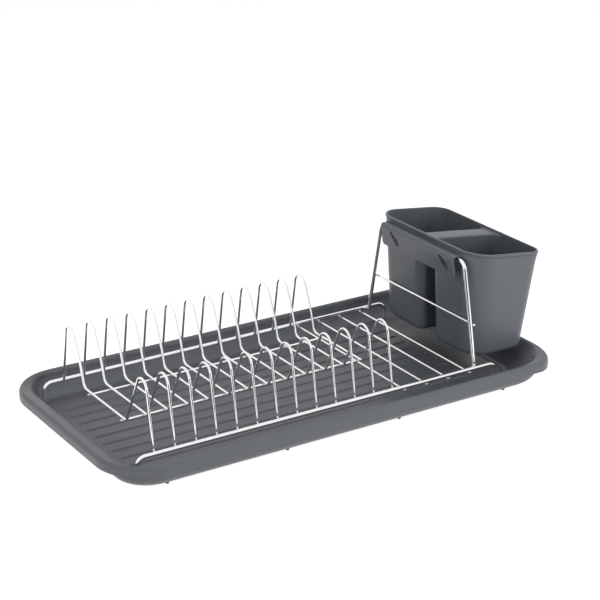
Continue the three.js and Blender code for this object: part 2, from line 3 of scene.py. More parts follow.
import bpy
import numpy as np
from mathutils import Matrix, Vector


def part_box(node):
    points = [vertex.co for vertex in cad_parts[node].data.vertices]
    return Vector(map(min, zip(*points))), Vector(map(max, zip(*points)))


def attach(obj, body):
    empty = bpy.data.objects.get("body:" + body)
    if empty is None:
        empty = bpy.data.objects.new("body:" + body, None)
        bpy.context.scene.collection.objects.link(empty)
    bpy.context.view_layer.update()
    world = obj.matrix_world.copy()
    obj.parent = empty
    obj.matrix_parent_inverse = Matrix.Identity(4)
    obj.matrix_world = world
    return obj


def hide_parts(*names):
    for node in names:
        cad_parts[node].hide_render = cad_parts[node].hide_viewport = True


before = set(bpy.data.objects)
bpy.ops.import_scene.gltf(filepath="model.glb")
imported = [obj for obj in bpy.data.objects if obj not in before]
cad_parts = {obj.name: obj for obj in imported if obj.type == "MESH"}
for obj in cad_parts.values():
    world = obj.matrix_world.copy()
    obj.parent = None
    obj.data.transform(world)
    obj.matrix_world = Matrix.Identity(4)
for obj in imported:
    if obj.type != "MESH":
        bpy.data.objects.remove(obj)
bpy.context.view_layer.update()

# Everything is worked out in millimetres and put into the frame in metres.
MM = 0.001


# ---------------------------------------------------------------------------
# Camera: a long lens, above and to the left of the drainer's front.

camera_data = bpy.data.cameras.new("camera")
camera_data.sensor_width = 36
camera_data.lens = 108.7
camera = bpy.data.objects.new("camera", camera_data)
camera.location = (-1.02136, -1.63274, 0.86714)
camera.rotation_euler = (math.pi / 2 - 0.37226, 0, -0.56615)
bpy.context.scene.collection.objects.link(camera)
bpy.context.scene.camera = camera


# ---------------------------------------------------------------------------
# Drip tray: one injection-moulded grey tray with a rolled skirt, a curved wall, nine
# shallow drainage grooves in its floor and a sump under the caddy.

TRAY_LEFT, TRAY_RIGHT = -292.65, 289.85
HALF_WIDTH = 147.6
RIM_TOP, SKIRT_BOTTOM, FLOOR_TOP, UNDERSIDE = 31.3, 19.5, 5.4, 2.8
RIM_RUN, RIM_ROUND = 4.0, 4.9
WALL_RUNS = (25.6, 29.5, 34.0)          # sides, left end, right end
LOWER_STEP = (2.0, 12.5)                # sides, ends
LOWER_RUNS = (20.0, 16.4)
FLAT_INSET = (31.0, 38.0)
TIGHT_CORNER = 10.0

# Left and right corners: their radii along and across the tray on the fullest ring, how fast
# they tighten, and how far that ring lies in from the end and from the side.
RIM_CORNERS = ((58.0, 58.0, 1.5, 0.0, 0.0), (35.0, 58.0, 1.5, 0.0, 0.0))
WALL_CORNERS = (RIM_CORNERS[0], (57.0, 57.0, 0.5, RIM_RUN, RIM_RUN))
LOWER_CORNERS = tuple((size, size, 0.8, LOWER_STEP[1], LOWER_STEP[0]) for size in (41.0, 50.0))

# Height above the floor, then the way in from the rim top at the sides, left end, right end.
INNER_WALL = (
    (0, 1, 1, 1),
    (0.02, 0.883, 0.922, 0.945),
    (0.08, 0.746, 0.858, 0.885),
    (0.2, 0.57, 0.79, 0.78),
    (0.36, 0.414, 0.712, 0.635),
    (0.55, 0.277, 0.627, 0.46),
    (0.74, 0.19, 0.525, 0.28),
    (0.83, 0.168, 0.441, 0.2),
    (0.89, 0.15, 0.305, 0.144),
    (0.94, 0.116, 0.17, 0.1),
    (0.97, 0.09, 0.085, 0.068),
)
# Depth below the rim top, then the way in from the skirt.
RIM_PROFILE = ((0, 1), (0.08, 0.6), (0.33, 0.25), (0.67, 0.05), (1, 0))
# Millimetres in from the skirt, then up from its lower edge.
SKIRT_EDGE = ((1.5, 0), (0.8, 0), (0.35, 0.12), (0.1, 0.42), (0, 0.9))
# Depth below the skirt, then the way in from the lower body's top.
LOWER_PROFILE = (
    (0, 0), (0.33, 0.025), (0.47, 0.085), (0.61, 0.185),
    (0.73, 0.325), (0.85, 0.51), (0.95, 0.75), (1, 1),
)

GROOVES, GROOVE_PITCH, GROOVE_DEPTH = 9, 20.5, 1.7
GROOVE_ENDS = (TRAY_LEFT + 43.0, TRAY_RIGHT - 91.0)
GROOVE_HALF = 2.8
GROOVE_SIDE = (1.2, 3.0)                # its bottom and top edge, from the middle line
SUMP_BOX = (TRAY_RIGHT - 84.0, TRAY_RIGHT - 40.0, 103.0)     # left, right, half width
SUMP_CORNER, SUMP_DEPTH, SUMP_SIDE = 30.0, 1.2, 3.5


def add_mesh(name, points, faces, material=None, sharp=40):
    """A mesh object of points in millimetres. Its shading is round except where two faces meet
    at more than the sharp angle in degrees."""
    mesh = bpy.data.meshes.new(name)
    faces = [list(map(int, face)) for face in faces]
    mesh.from_pydata((np.asarray(points, float) * MM).tolist(), [], faces)
    mesh.update()
    mesh.set_sharp_from_angle(angle=math.radians(sharp))
    piece = bpy.data.objects.new(name, mesh)
    bpy.context.scene.collection.objects.link(piece)
    if material:
        mesh.materials.append(material)
    return piece


def ring_quads(rows, columns):
    """The quads between neighbouring rings, for rings of the same number of points that close
    round."""
    row = np.arange(rows - 1)[:, None] * columns
    column = np.arange(columns)[None, :]
    after = (column + 1) % columns
    quads = np.stack([row + column, row + after, row + after + columns, row + column + columns], -1)
    return quads.reshape(-1, 4).tolist()


def smooth_rows(rows, steps):
    """Rows put between the given ones on a cubic that passes through every row. The slope at a
    row is the mean of its two neighbouring slopes, each weighted by the other one's run. The
    corner radii, which are the fourth to seventh columns, go straight from row to row."""
    rows = np.asarray(rows, float)
    run = np.linalg.norm(np.diff(rows[:, [0, 1, 2, 7]], axis=0), axis=1)
    run = np.maximum(run, 1e-6)[:, None]
    slope = np.diff(rows, axis=0) / run
    middle = (slope[1:] * run[:-1] + slope[:-1] * run[1:]) / (run[1:] + run[:-1])
    slopes = np.vstack([slope[:1], middle, slope[-1:]])
    out = []
    for i in range(len(rows) - 1):
        for t in np.arange(steps) / steps:
            out.append(
                (2 * t**3 - 3 * t**2 + 1) * rows[i] + (t**3 - 2 * t**2 + t) * run[i] * slopes[i]
                + (3 * t**2 - 2 * t**3) * rows[i + 1] + (t**3 - t**2) * run[i] * slopes[i + 1]
            )
            out[-1][3:7] = rows[i][3:7] + t * (rows[i + 1][3:7] - rows[i][3:7])
    out.append(rows[-1])
    return np.array(out)


def tray_row(side, left, right, corners, z):
    """One profile row: how far the ring lies in at the sides and ends, the four corner radii,
    and its height. A corner's radius falls by its share for each millimetre that its ring moves
    in."""
    radii = []
    for (along, across, share, end_start, side_start), end in zip(corners, (left, right)):
        radii.append(max(TIGHT_CORNER, along - share * (end - end_start)))
        radii.append(max(TIGHT_CORNER, across - share * (side - side_start)))
    return [side, left, right, *radii, z]


def edge_marks(start, end, fine, coarse):
    """Places from start to end: every value of fine that lies between, and enough others that no
    gap passes coarse."""
    marks = sorted({start, end, *[v for v in fine if start < v < end]})
    out = [marks[0]]
    for value in marks[1:]:
        parts = max(1, math.ceil((value - out[-1]) / coarse))
        out.extend(out[-1] + (value - out[-1]) * np.arange(1, parts + 1) / parts)
    return np.array(out)


# The floor's middle is a grid, finer over the grooves' sides and ends and the sump's edge.
CORE_INSET = 16.0                       # flat floor's edge to the grid
CORE = (
    TRAY_LEFT + RIM_RUN + WALL_RUNS[1] + CORE_INSET,
    TRAY_RIGHT - RIM_RUN - WALL_RUNS[2] - CORE_INSET,
    HALF_WIDTH - RIM_RUN - WALL_RUNS[0] - CORE_INSET,
)
CORE_STEPS = (9, 5)
FLOOR_RINGS = (1, 2, 3, 3.75, 4.5, 5.25, 6, 7, 8.5, 10.5, 12.5, 13.5, 14.25, 15)
CORE_EDGE_MARKS = (0.6, 1.6, 3.0)
ACROSS_GROOVE = (0.5, 1.0, 1.4, 1.7, 2.0, 2.3, 2.6, 2.9, 3.3, 4.2)
LEFT_GROOVE_END = np.arange(-0.8, 3.7, 0.45)
RIGHT_GROOVE_END = np.arange(-3.2, 1.3, 0.45)
SUMP_EDGE = np.arange(-1, 6, 0.75)
SUMP_INSIDE = (10, 14)
CORNER_STEPS = 18

groove_lines = (np.arange(GROOVES) - (GROOVES - 1) / 2) * GROOVE_PITCH
core_x = edge_marks(
    CORE[0], CORE[1],
    [
        *(CORE[0] + v for v in CORE_EDGE_MARKS),
        *(GROOVE_ENDS[1] + RIGHT_GROOVE_END),
        *(GROOVE_ENDS[0] + LEFT_GROOVE_END),
        *(SUMP_BOX[0] + SUMP_EDGE),
        *(SUMP_BOX[0] + v for v in SUMP_INSIDE),
    ],
    CORE_STEPS[0],
)
core_y = edge_marks(
    -CORE[2], CORE[2],
    [line + sign * v for line in groove_lines for v in ACROSS_GROOVE for sign in (-1, 1)]
    + [sign * (SUMP_BOX[2] - v) for v in (*SUMP_EDGE, SUMP_INSIDE[1]) for sign in (-1, 1)],
    CORE_STEPS[1],
)
share_x = (core_x - core_x[0]) / (core_x[-1] - core_x[0])
share_y = (core_y - core_y[0]) / (core_y[-1] - core_y[0])
quarter = np.linspace(0, math.pi / 2, CORNER_STEPS + 1)[1:-1]


def tray_ring(row, floor_height=None):
    """A rounded rectangle seen from above, anticlockwise from the front left. Each side is
    divided in the floor grid's shares and each corner is a quarter of an ellipse."""
    side, left, right, left_x, left_y, right_x, right_y, z = row
    x0, x1 = TRAY_LEFT + left, TRAY_RIGHT - right
    y1 = HALF_WIDTH - side
    low_x, high_x = x0 + left_x, x1 - right_x
    sine, cosine = np.sin(quarter), np.cos(quarter)
    outline = [
        (low_x + share_x * (high_x - low_x), -y1),
        (high_x + right_x * sine, right_y - y1 - right_y * cosine),
        (x1, (right_y - y1) + share_y * 2 * (y1 - right_y)),
        (high_x + right_x * cosine, y1 - right_y + right_y * sine),
        (high_x - (1 - share_x[::-1]) * (high_x - low_x), y1),
        (low_x - left_x * sine, y1 - left_y + left_y * cosine),
        (x0, (y1 - left_y) - (1 - share_y[::-1]) * 2 * (y1 - left_y)),
        (low_x - left_x * cosine, left_y - y1 - left_y * sine),
    ]
    points = np.vstack([np.column_stack(np.broadcast_arrays(x, y)) for x, y in outline])
    if floor_height is None:
        return np.column_stack([points, np.full(len(points), z)])
    return np.column_stack([points, floor_height(points[:, 0], points[:, 1])])


def soft_step(value, low, high):
    """Nought below low, one above high, and a smooth S between them."""
    t = np.clip((value - low) / (high - low), 0, 1)
    return t * t * (3 - 2 * t)


def tray_floor(x, y):
    """The floor's height: flat, less a groove's depth near each groove line and the sump's depth
    inside its rounded box. Both have soft edges."""
    middle = sum(GROOVE_ENDS) / 2
    reach = (GROOVE_ENDS[1] - GROOVE_ENDS[0]) / 2 - GROOVE_HALF
    past = np.maximum(np.abs(x - middle) - reach, 0)
    nearest = np.min(np.abs(y[:, None] - groove_lines[None, :]), axis=1)
    groove = GROOVE_DEPTH * (1 - soft_step(np.hypot(past, nearest), *GROOVE_SIDE))
    centre, half = (SUMP_BOX[0] + SUMP_BOX[1]) / 2, (SUMP_BOX[1] - SUMP_BOX[0]) / 2
    out_x = np.maximum(np.abs(x - centre) - half + SUMP_CORNER, 0)
    out_y = np.maximum(np.abs(y) - SUMP_BOX[2] + SUMP_CORNER, 0)
    sump = SUMP_DEPTH * (1 - soft_step(np.hypot(out_x, out_y) - SUMP_CORNER, -SUMP_SIDE, 0))
    return FLOOR_TOP - groove - sump


def tray_rows():
    """The tray's profile from the middle of its underside, up the lower body and the skirt, over
    the rim and down the inner wall to the floor."""
    lower, rim, inner = [], [], []
    for down, share in LOWER_PROFILE[::-1]:
        side, end = (step + share * run for step, run in zip(LOWER_STEP, LOWER_RUNS))
        z = SKIRT_BOTTOM - down * (SKIRT_BOTTOM - UNDERSIDE)
        lower.append(tray_row(side, end, end, LOWER_CORNERS, z))
    flat = tray_row(FLAT_INSET[0], FLAT_INSET[1], FLAT_INSET[1], LOWER_CORNERS, UNDERSIDE)
    skirt = [
        tray_row(inset, inset, inset, RIM_CORNERS, SKIRT_BOTTOM + up)
        for inset, up in SKIRT_EDGE
    ]
    for down, share in RIM_PROFILE[::-1]:
        inset, z = share * RIM_RUN, RIM_TOP - down * RIM_ROUND
        rim.append(tray_row(inset, inset, inset, RIM_CORNERS, z))
    for up, *shares in INNER_WALL[::-1]:
        insets = [RIM_RUN + share * run for share, run in zip(shares, WALL_RUNS)]
        z = FLOOR_TOP + up * (RIM_TOP - FLOOR_TOP)
        inner.append(tray_row(*insets, WALL_CORNERS, z))
    return np.vstack([[flat], smooth_rows(lower, 3), skirt, smooth_rows(rim + inner, 4)])


def build_tray():
    """All rings of the profile, then floor rings whose corners tighten towards the grid's square
    ones, then the floor's grid, which shares its edge with the last ring."""
    rows = tray_rows()
    rings = [tray_ring(row) for row in rows]
    for inset in FLOOR_RINGS:
        row = rows[-1].copy()
        row[:3] += inset
        row[3:7] *= 1 - inset / CORE_INSET
        rings.append(tray_ring(row, tray_floor))
    columns = len(rings[0])
    points = np.vstack(rings)
    grid_x, grid_y = (axis.ravel() for axis in np.meshgrid(core_x, core_y))
    grid = np.column_stack([grid_x, grid_y, tray_floor(grid_x, grid_y)])
    start, wide, deep = len(points), len(core_x), len(core_y)
    along, across = np.arange(wide), np.arange(deep)
    corner = np.ones(len(quarter), int)
    grid_edge = start + np.concatenate([
        along, corner * (wide - 1),
        across * wide + wide - 1, corner * (deep * wide - 1),
        along[::-1] + (deep - 1) * wide, corner * (deep - 1) * wide,
        across[::-1] * wide, corner * 0,
    ])
    last, here = start - columns, np.arange(columns)
    after = (here + 1) % columns
    seam = np.column_stack([last + here, last + after, grid_edge[after], grid_edge[here]])
    cell = (start + across[:-1, None] * wide + along[:-1]).ravel()
    faces = ring_quads(len(rings), columns)
    faces += [list(dict.fromkeys(face)) for face in seam.tolist()]
    faces += np.column_stack([cell, cell + 1, cell + wide + 1, cell + wide]).tolist()
    faces.append(list(range(columns))[::-1])
    return np.vstack([points, grid]), faces


def new_group(name, inputs, outputs):
    """An empty shader node group with its sockets; returns the group and its two end nodes."""
    group = bpy.data.node_groups.new(name, "ShaderNodeTree")
    for label, kind, value in inputs:
        socket = group.interface.new_socket(name=label, in_out="INPUT", socket_type=kind)
        socket.default_value = value
    for label, kind in outputs:
        group.interface.new_socket(name=label, in_out="OUTPUT", socket_type=kind)
    return group, group.nodes.new("NodeGroupInput"), group.nodes.new("NodeGroupOutput")


def put(tree, kind, links=(), **settings):
    """A node with its settings, and its inputs either joined to other nodes' outputs or set to
    values."""
    node = tree.nodes.new(kind)
    for key, value in settings.items():
        setattr(node, key, value)
    for key, value in dict(links).items():
        if isinstance(value, bpy.types.NodeSocket):
            tree.links.new(value, node.inputs[key])
        else:
            node.inputs[key].default_value = value
    return node


def noise(tree, place, scale, detail=2.0, roughness=0.5):
    """Cloudy noise about one half, with scale waves to the metre."""
    links = {"Vector": place, "Scale": scale, "Detail": detail, "Roughness": roughness}
    return put(tree, "ShaderNodeTexNoise", links).outputs["Fac"]


def reckon(tree, operation, *values):
    """One sum of two or three values."""
    return put(tree, "ShaderNodeMath", dict(enumerate(values)), operation=operation).outputs[0]


def remap(tree, value, low, high, to_low=0.0, to_high=1.0):
    """value on a straight line that takes low to to_low and high to to_high, held between."""
    links = {"Value": value, "From Min": low, "From Max": high, "To Min": to_low, "To Max": to_high}
    return put(tree, "ShaderNodeMapRange", links).outputs[0]


def blend(tree, share, first, second):
    """A colour that goes from first to second as share goes from nought to one."""
    links = {"Factor": share, "A": first, "B": second}
    return put(tree, "ShaderNodeMix", links, data_type="RGBA").outputs["Result"]


def moulded_group():
    """Moulded plastic: a fine spark-eroded grain as a bump, broad and middling variation of
    tone, and long faint rub marks as a mask."""
    group, start, end = new_group(
        "moulded_plastic",
        [("Grain", "NodeSocketFloat", 0.3), ("Rub length", "NodeSocketFloat", 30.0)],
        [("Tone", "NodeSocketFloat"), ("Rub", "NodeSocketFloat"), ("Normal", "NodeSocketVector")],
    )
    place = put(group, "ShaderNodeTexCoord").outputs["Object"]
    grain = noise(group, place, 1900.0, 3.0, 0.6)
    broad = noise(group, place, 9.0)
    middling = noise(group, place, 85.0, 4.0)
    tone = reckon(group, "MULTIPLY_ADD", middling, 0.35, reckon(group, "MULTIPLY", broad, 0.65))
    stretch = put(
        group, "ShaderNodeCombineXYZ",
        {"X": start.outputs["Rub length"], "Y": 520.0, "Z": 520.0},
    )
    lengths = {0: place, 1: stretch.outputs[0]}
    drawn = put(group, "ShaderNodeVectorMath", lengths, operation="MULTIPLY")
    rub = remap(group, noise(group, drawn.outputs[0], 1.0), 0.63, 0.74)
    bump = put(
        group, "ShaderNodeBump",
        {"Strength": start.outputs["Grain"], "Distance": 0.00006, "Height": grain},
    )
    group.links.new(tone, end.inputs["Tone"])
    group.links.new(reckon(group, "MULTIPLY", rub, middling), end.inputs["Rub"])
    group.links.new(bump.outputs[0], end.inputs["Normal"])
    return group


moulded = moulded_group()


def new_material(name):
    """An empty node material with its Principled shader joined to the output."""
    material = bpy.data.materials.new(name)
    material.use_nodes = True
    tree = material.node_tree
    tree.nodes.clear()
    shader = tree.nodes.new("ShaderNodeBsdfPrincipled")
    output = tree.nodes.new("ShaderNodeOutputMaterial")
    tree.links.new(shader.outputs[0], output.inputs["Surface"])
    return material, tree, shader


def dress(tree, shader, colour, roughness, normal):
    """Joins a surface's colour, roughness and normal to its shader."""
    tree.links.new(colour, shader.inputs["Base Color"])
    tree.links.new(roughness, shader.inputs["Roughness"])
    tree.links.new(normal, shader.inputs["Normal"])


CREASE_SHADE_SHARE = 0.35                      # painted shade in hollows: its share of the dark tone


def plastic(name, dark, light, rubbed, rough, grain):
    """Moulded plastic between two tones, paler and duller along its rub marks, worn a little
    pale on its edges, and darkened by painted shade where it is hollow, in creases and grooves."""
    material, tree, shader = new_material(name)
    surface = put(tree, "ShaderNodeGroup", node_tree=moulded)
    surface.inputs["Grain"].default_value = grain
    tone = surface.outputs["Tone"]
    sharpness = put(tree, "ShaderNodeNewGeometry").outputs["Pointiness"]
    worn = remap(tree, sharpness, 0.515, 0.60, 0.0, 0.35)
    wear = reckon(tree, "MAXIMUM", surface.outputs["Rub"], worn)
    # Painted shade: where the surface is hollow, in creases and grooves, its colour is mixed
    # towards a deep share of the dark tone.
    hollow = remap(tree, sharpness, 0.42, 0.492, 0.7, 0.0)
    deep = tuple(CREASE_SHADE_SHARE * share for share in dark[:3]) + (1,)
    colour = blend(tree, wear, blend(tree, tone, dark, light), rubbed)
    # The painted shade is mixed in over the hollows here.
    colour = blend(tree, hollow, colour, deep)
    roughness = remap(tree, tone, 0.3, 0.7, rough - 0.04, rough + 0.05)
    roughness = reckon(tree, "MULTIPLY_ADD", wear, 0.12, roughness)
    dress(tree, shader, colour, roughness, surface.outputs["Normal"])
    shader.inputs["IOR"].default_value = 1.49
    return material


tray_grey = plastic(
    "tray_grey",
    dark=(0.131, 0.140, 0.155, 1), light=(0.155, 0.165, 0.181, 1), rubbed=(0.19, 0.2, 0.217, 1),
    rough=0.36, grain=0.3,
)
tray = add_mesh("drip_tray", *build_tray(), tray_grey, sharp=50)
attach(tray, "tray")
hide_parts("tray")


# ---------------------------------------------------------------------------
# Nub feet: eight short moulded rubber plugs pushed up into the tray's underside, each
# with a small flat that meets the table.

FEET_A_SIDE, FIRST_FOOT, FOOT_PITCH, FOOT_IN = 4, 62.8, 148.3, 19.0
FOOT_SIDES, FOOT_GRAIN = 32, 0.6
# Radius, then height.
FOOT_PROFILE = (
    (0.5, 0.0), (1.1, 0.0), (1.4, 0.1), (1.75, 0.35),
    (2.0, 0.75), (2.17, 1.3), (2.2, 1.9), (2.2, 4.6),
)


def turned(profile, sides, centre):
    """A profile of radius and height turned about an upright line through centre and closed at
    both ends."""
    angle = np.linspace(0, 2 * math.pi, sides, endpoint=False)
    rings = [
        np.column_stack([radius * np.cos(angle), radius * np.sin(angle), np.full(sides, z)])
        for radius, z in profile
    ]
    faces = ring_quads(len(rings), sides)
    faces += [list(range(sides))[::-1], list(range((len(rings) - 1) * sides, len(rings) * sides))]
    return np.vstack(rings) + np.array(centre), faces


def rubber_material():
    """Dark rubber: matt, with a coarse dusty bloom and a soft fine bump."""
    material, tree, shader = new_material("foot_rubber")
    surface = put(tree, "ShaderNodeGroup", node_tree=moulded)
    surface.inputs["Grain"].default_value = FOOT_GRAIN
    tone = surface.outputs["Tone"]
    colour = blend(tree, tone, (0.018, 0.018, 0.019, 1), (0.045, 0.045, 0.047, 1))
    dress(tree, shader, colour, remap(tree, tone, 0.0, 1.0, 0.6, 0.9), surface.outputs["Normal"])
    return material


rubber = rubber_material()
for row, sign in (("front", -1), ("back", 1)):
    for i in range(FEET_A_SIDE):
        place = (TRAY_LEFT + FIRST_FOOT + FOOT_PITCH * i, sign * (HALF_WIDTH - FOOT_IN), 0)
        foot = add_mesh(f"nub_{row}_{i + 1}", *turned(FOOT_PROFILE, FOOT_SIDES, place), rubber)
        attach(foot, "tray")
        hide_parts(f"foot_{row}_{i + 1}")


# ---------------------------------------------------------------------------
# Rails: two 5 mm chrome-plated steel wires that carry the rack, each bent down at both
# ends into a foot that stands in the tray.

RAIL_R, RAIL_BEND, RAIL_SIDES = 2.5, 10.0, 24
RAIL_Y, RAIL_Z = 113.0, 29.0
LEFT_FOOT_X, RIGHT_FOOT_X = TRAY_LEFT + 35.7, 214.25
BEND_TURN, WIRE_STEP = 5.0, 9.0         # degrees and millimetres between a wire's rings
# A cropped end's rings: the way in from the end, then the radius, both in wire radii.
CROPPED_END = ((0.0, 0.55), (0.05, 0.8), (0.2, 0.95), (0.45, 1.0))
rail_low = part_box("front_rail")[0][2] / MM


def bent_path(corners, radii):
    """A flat wire's centre line: straight runs in short lengths, and at each corner a round bend
    of the given radius in small turns."""
    corners = [np.array(c, float) for c in corners]
    points = [corners[0]]

    def run_to(target):
        """Adds points at even steps, no longer than a wire's step, from the last one to target."""
        base, gap = points[-1], np.linalg.norm(target - points[-1])
        parts = max(1, math.ceil(gap / WIRE_STEP))
        points.extend(base + (target - base) * np.arange(1, parts + 1)[:, None] / parts)

    for before, corner, after, radius in zip(corners, corners[1:], corners[2:], radii):
        incoming = (corner - before) / np.linalg.norm(corner - before)
        outgoing = (after - corner) / np.linalg.norm(after - corner)
        turn = math.acos(np.clip(incoming @ outgoing, -1, 1))
        inward = outgoing - (incoming @ outgoing) * incoming
        inward /= np.linalg.norm(inward)
        start = corner - incoming * radius * math.tan(turn / 2)
        run_to(start)
        steps = max(2, math.ceil(math.degrees(turn) / BEND_TURN))
        angle = turn * np.arange(1, steps + 1)[:, None] / steps
        points.extend(start + radius * (incoming * np.sin(angle) + inward * (1 - np.cos(angle))))
    run_to(corners[-1])
    return np.array(points)


def wire(path, radius, across, sides=18):
    """A round wire along a flat path: at each point a circle in the plane across the path. Both
    ends are cropped flat with a small rolled edge. across is the direction square to the path's
    plane."""
    across = np.array(across, float)
    along = np.gradient(path, axis=0)
    along /= np.linalg.norm(along, axis=1)[:, None]
    step, share = np.array(CROPPED_END).T
    first = path[0] + along[0] * radius * step[:, None]
    last = path[-1] - along[-1] * radius * step[::-1, None]
    centres = np.vstack([first, path[1:-1], last])
    size = radius * np.concatenate([share, np.ones(len(path) - 2), share[::-1]])
    heading = along[np.clip(np.arange(len(centres)) - len(step) + 1, 0, len(path) - 1)]
    other = np.cross(heading, across)
    angle = np.linspace(0, 2 * math.pi, sides, endpoint=False)[None, :, None]
    circles = np.cos(angle) * across + np.sin(angle) * other[:, None]
    rings = centres[:, None] + size[:, None, None] * circles
    count = len(rings)
    faces = [face[::-1] for face in ring_quads(count, sides)]
    faces += [list(range(sides)), list(range((count - 1) * sides, count * sides))[::-1]]
    return rings.reshape(-1, 3), faces


def plating_group():
    """Bright plating over drawn wire: faint ripples as a bump, and tiny pits and hairlines as a
    mask."""
    group, start, end = new_group(
        "bright_plating",
        [("Ripple", "NodeSocketFloat", 0.1)],
        [("Haze", "NodeSocketFloat"), ("Pits", "NodeSocketFloat"), ("Normal", "NodeSocketVector")],
    )
    place = put(group, "ShaderNodeTexCoord").outputs["Object"]
    pits = put(group, "ShaderNodeTexVoronoi", {"Vector": place, "Scale": 420.0}).outputs["Distance"]
    ripple = noise(group, place, 130.0)
    bump = put(
        group, "ShaderNodeBump",
        {"Strength": start.outputs["Ripple"], "Distance": 0.0002, "Height": ripple},
    )
    group.links.new(noise(group, place, 45.0, 5.0, 0.65), end.inputs["Haze"])
    group.links.new(remap(group, pits, 0.05, 0.12, 1.0, 0.0), end.inputs["Pits"])
    group.links.new(bump.outputs[0], end.inputs["Normal"])
    return group


plating = plating_group()


def chrome_material(name, bright, dull, smooth, hazy):
    """Chrome plating: nearly a mirror, a little hazier in patches, with pits that are dull."""
    material, tree, shader = new_material(name)
    surface = put(tree, "ShaderNodeGroup", node_tree=plating)
    haze = surface.outputs["Haze"]
    rough = remap(tree, haze, 0.35, 0.7, smooth, hazy)
    rough = reckon(tree, "MULTIPLY_ADD", surface.outputs["Pits"], 0.2, rough)
    dress(tree, shader, blend(tree, haze, bright, dull), rough, surface.outputs["Normal"])
    shader.inputs["Metallic"].default_value = 1.0
    return material


chrome = chrome_material("wire_chrome", (0.94, 0.94, 0.945, 1), (0.86, 0.865, 0.875, 1), 0.05, 0.12)
rail_corners = [
    (LEFT_FOOT_X, 0, rail_low), (LEFT_FOOT_X, 0, RAIL_Z),
    (RIGHT_FOOT_X, 0, RAIL_Z), (RIGHT_FOOT_X, 0, rail_low),
]
for row, sign in (("front", -1), ("back", 1)):
    path = bent_path(rail_corners, (RAIL_BEND, RAIL_BEND)) + np.array((0, sign * RAIL_Y, 0))
    rail = add_mesh(f"{row}_rail_wire", *wire(path, RAIL_R, (0, 1, 0), RAIL_SIDES), chrome)
    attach(rail, "rack")
    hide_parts(f"{row}_rail")


# ---------------------------------------------------------------------------
# Hoops: thirteen 3 mm plated wires, each bent into a front loop, a floor run and a back
# loop whose inner leg bows, with both ends welded to the rails.

HOOP_R, WELD_GAP = 1.5, 0.3
FIRST_HOOP_X, HOOP_PITCH, HOOPS = LEFT_FOOT_X + 23.0, 25.4, 13
LEG_OVERLAP, RUN_Z = 1.5, 12.0
FRONT_TOP, BACK_TOP, LOOP_R = 75.4, 75.2, 11.0
FRONT_LEAN, BACK_LEAN = 0.17, 0.18
FRONT_VALLEY, BACK_VALLEY = 60.8, 54.5
BOW_Z, BOW_IN = 37.0, 47.2
HOOP_BENDS = (LOOP_R, 4, 9, 60, LOOP_R)
HOOP_FOOT_Y = RAIL_Y - RAIL_R - HOOP_R - WELD_GAP
CORNER_PASSES = 40


def loop_corner(lean, inner_y, inner_z, top):
    """Where a loop's two slanted legs would meet above its round top. y is measured in from the
    outer leg's foot. The corner is moved until the round that fills it just touches the height
    top."""
    z = top + LOOP_R
    for _ in range(CORNER_PASSES):
        y = lean * (z + LEG_OVERLAP)
        inner_lean = (inner_y - y) / (z - inner_z)
        half = (math.atan(lean) + math.atan(inner_lean)) / 2
        tilt = (math.atan(inner_lean) - math.atan(lean)) / 2
        z = top - LOOP_R + LOOP_R * math.cos(tilt) / math.sin(half)
    return lean * (z + LEG_OVERLAP), z


front_y, front_z = loop_corner(FRONT_LEAN, FRONT_VALLEY, RUN_Z, FRONT_TOP)
back_y, back_z = loop_corner(BACK_LEAN, BOW_IN, BOW_Z, BACK_TOP)
hoop_corners = [
    (-HOOP_FOOT_Y, -LEG_OVERLAP),
    (-HOOP_FOOT_Y + front_y, front_z),
    (-HOOP_FOOT_Y + FRONT_VALLEY, RUN_Z),
    (HOOP_FOOT_Y - BACK_VALLEY, RUN_Z),
    (HOOP_FOOT_Y - BOW_IN, BOW_Z),
    (HOOP_FOOT_Y - back_y, back_z),
    (HOOP_FOOT_Y, -LEG_OVERLAP),
]
hoop_path = bent_path([(0, y, z + RAIL_Z) for y, z in hoop_corners], HOOP_BENDS)
for i in range(HOOPS):
    path = hoop_path + np.array((FIRST_HOOP_X + i * HOOP_PITCH, 0, 0))
    hoop = add_mesh(f"plate_hoop_{i + 1:02d}", *wire(path, HOOP_R, (1, 0, 0)), chrome)
    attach(hoop, "rack")
    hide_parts(f"hoop_{i + 1:02d}")


# ---------------------------------------------------------------------------
# Straight wires: two plated floor wires, welded under the hoops to tie them together, and
# four cross wires welded under the rails, where the rack has no hoops.

FLOOR_WIRE_Z = RAIL_Z + RUN_Z - 2 * HOOP_R - WELD_GAP
FLOOR_WIRE_Y = {"front": 74.5 - RAIL_Y, "back": RAIL_Y - 72.5}
FLOOR_WIRE_PAST = 3
LAST_HOOP_X = FIRST_HOOP_X + (HOOPS - 1) * HOOP_PITCH
CROSS_WIRES, FIRST_CROSS, CROSS_PITCH = 4, 14.8, 30.8
CROSS_X = [LAST_HOOP_X + FIRST_CROSS + CROSS_PITCH * i for i in range(CROSS_WIRES)]
CROSS_Z = RAIL_Z - RAIL_R - HOOP_R - WELD_GAP


def straight(start, end, radius, across):
    """A straight wire between two points, in short lengths."""
    return wire(bent_path([start, end], ()), radius, across)


for row, y in FLOOR_WIRE_Y.items():
    reach = (FIRST_HOOP_X - FLOOR_WIRE_PAST, LAST_HOOP_X + FLOOR_WIRE_PAST)
    ends = [(x, y, FLOOR_WIRE_Z) for x in reach]
    floor_wire = add_mesh(f"{row}_tie_wire", *straight(*ends, HOOP_R, (0, 1, 0)), chrome)
    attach(floor_wire, "rack")
    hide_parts(f"{row}_floor_wire")

for i, x in enumerate(CROSS_X):
    ends = [(x, sign * (RAIL_Y + HOOP_R), CROSS_Z) for sign in (-1, 1)]
    cross = add_mesh(f"cup_wire_{i + 1}", *straight(*ends, HOOP_R, (1, 0, 0)), chrome)
    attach(cross, "rack")
    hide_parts(f"cross_wire_{i + 1}")


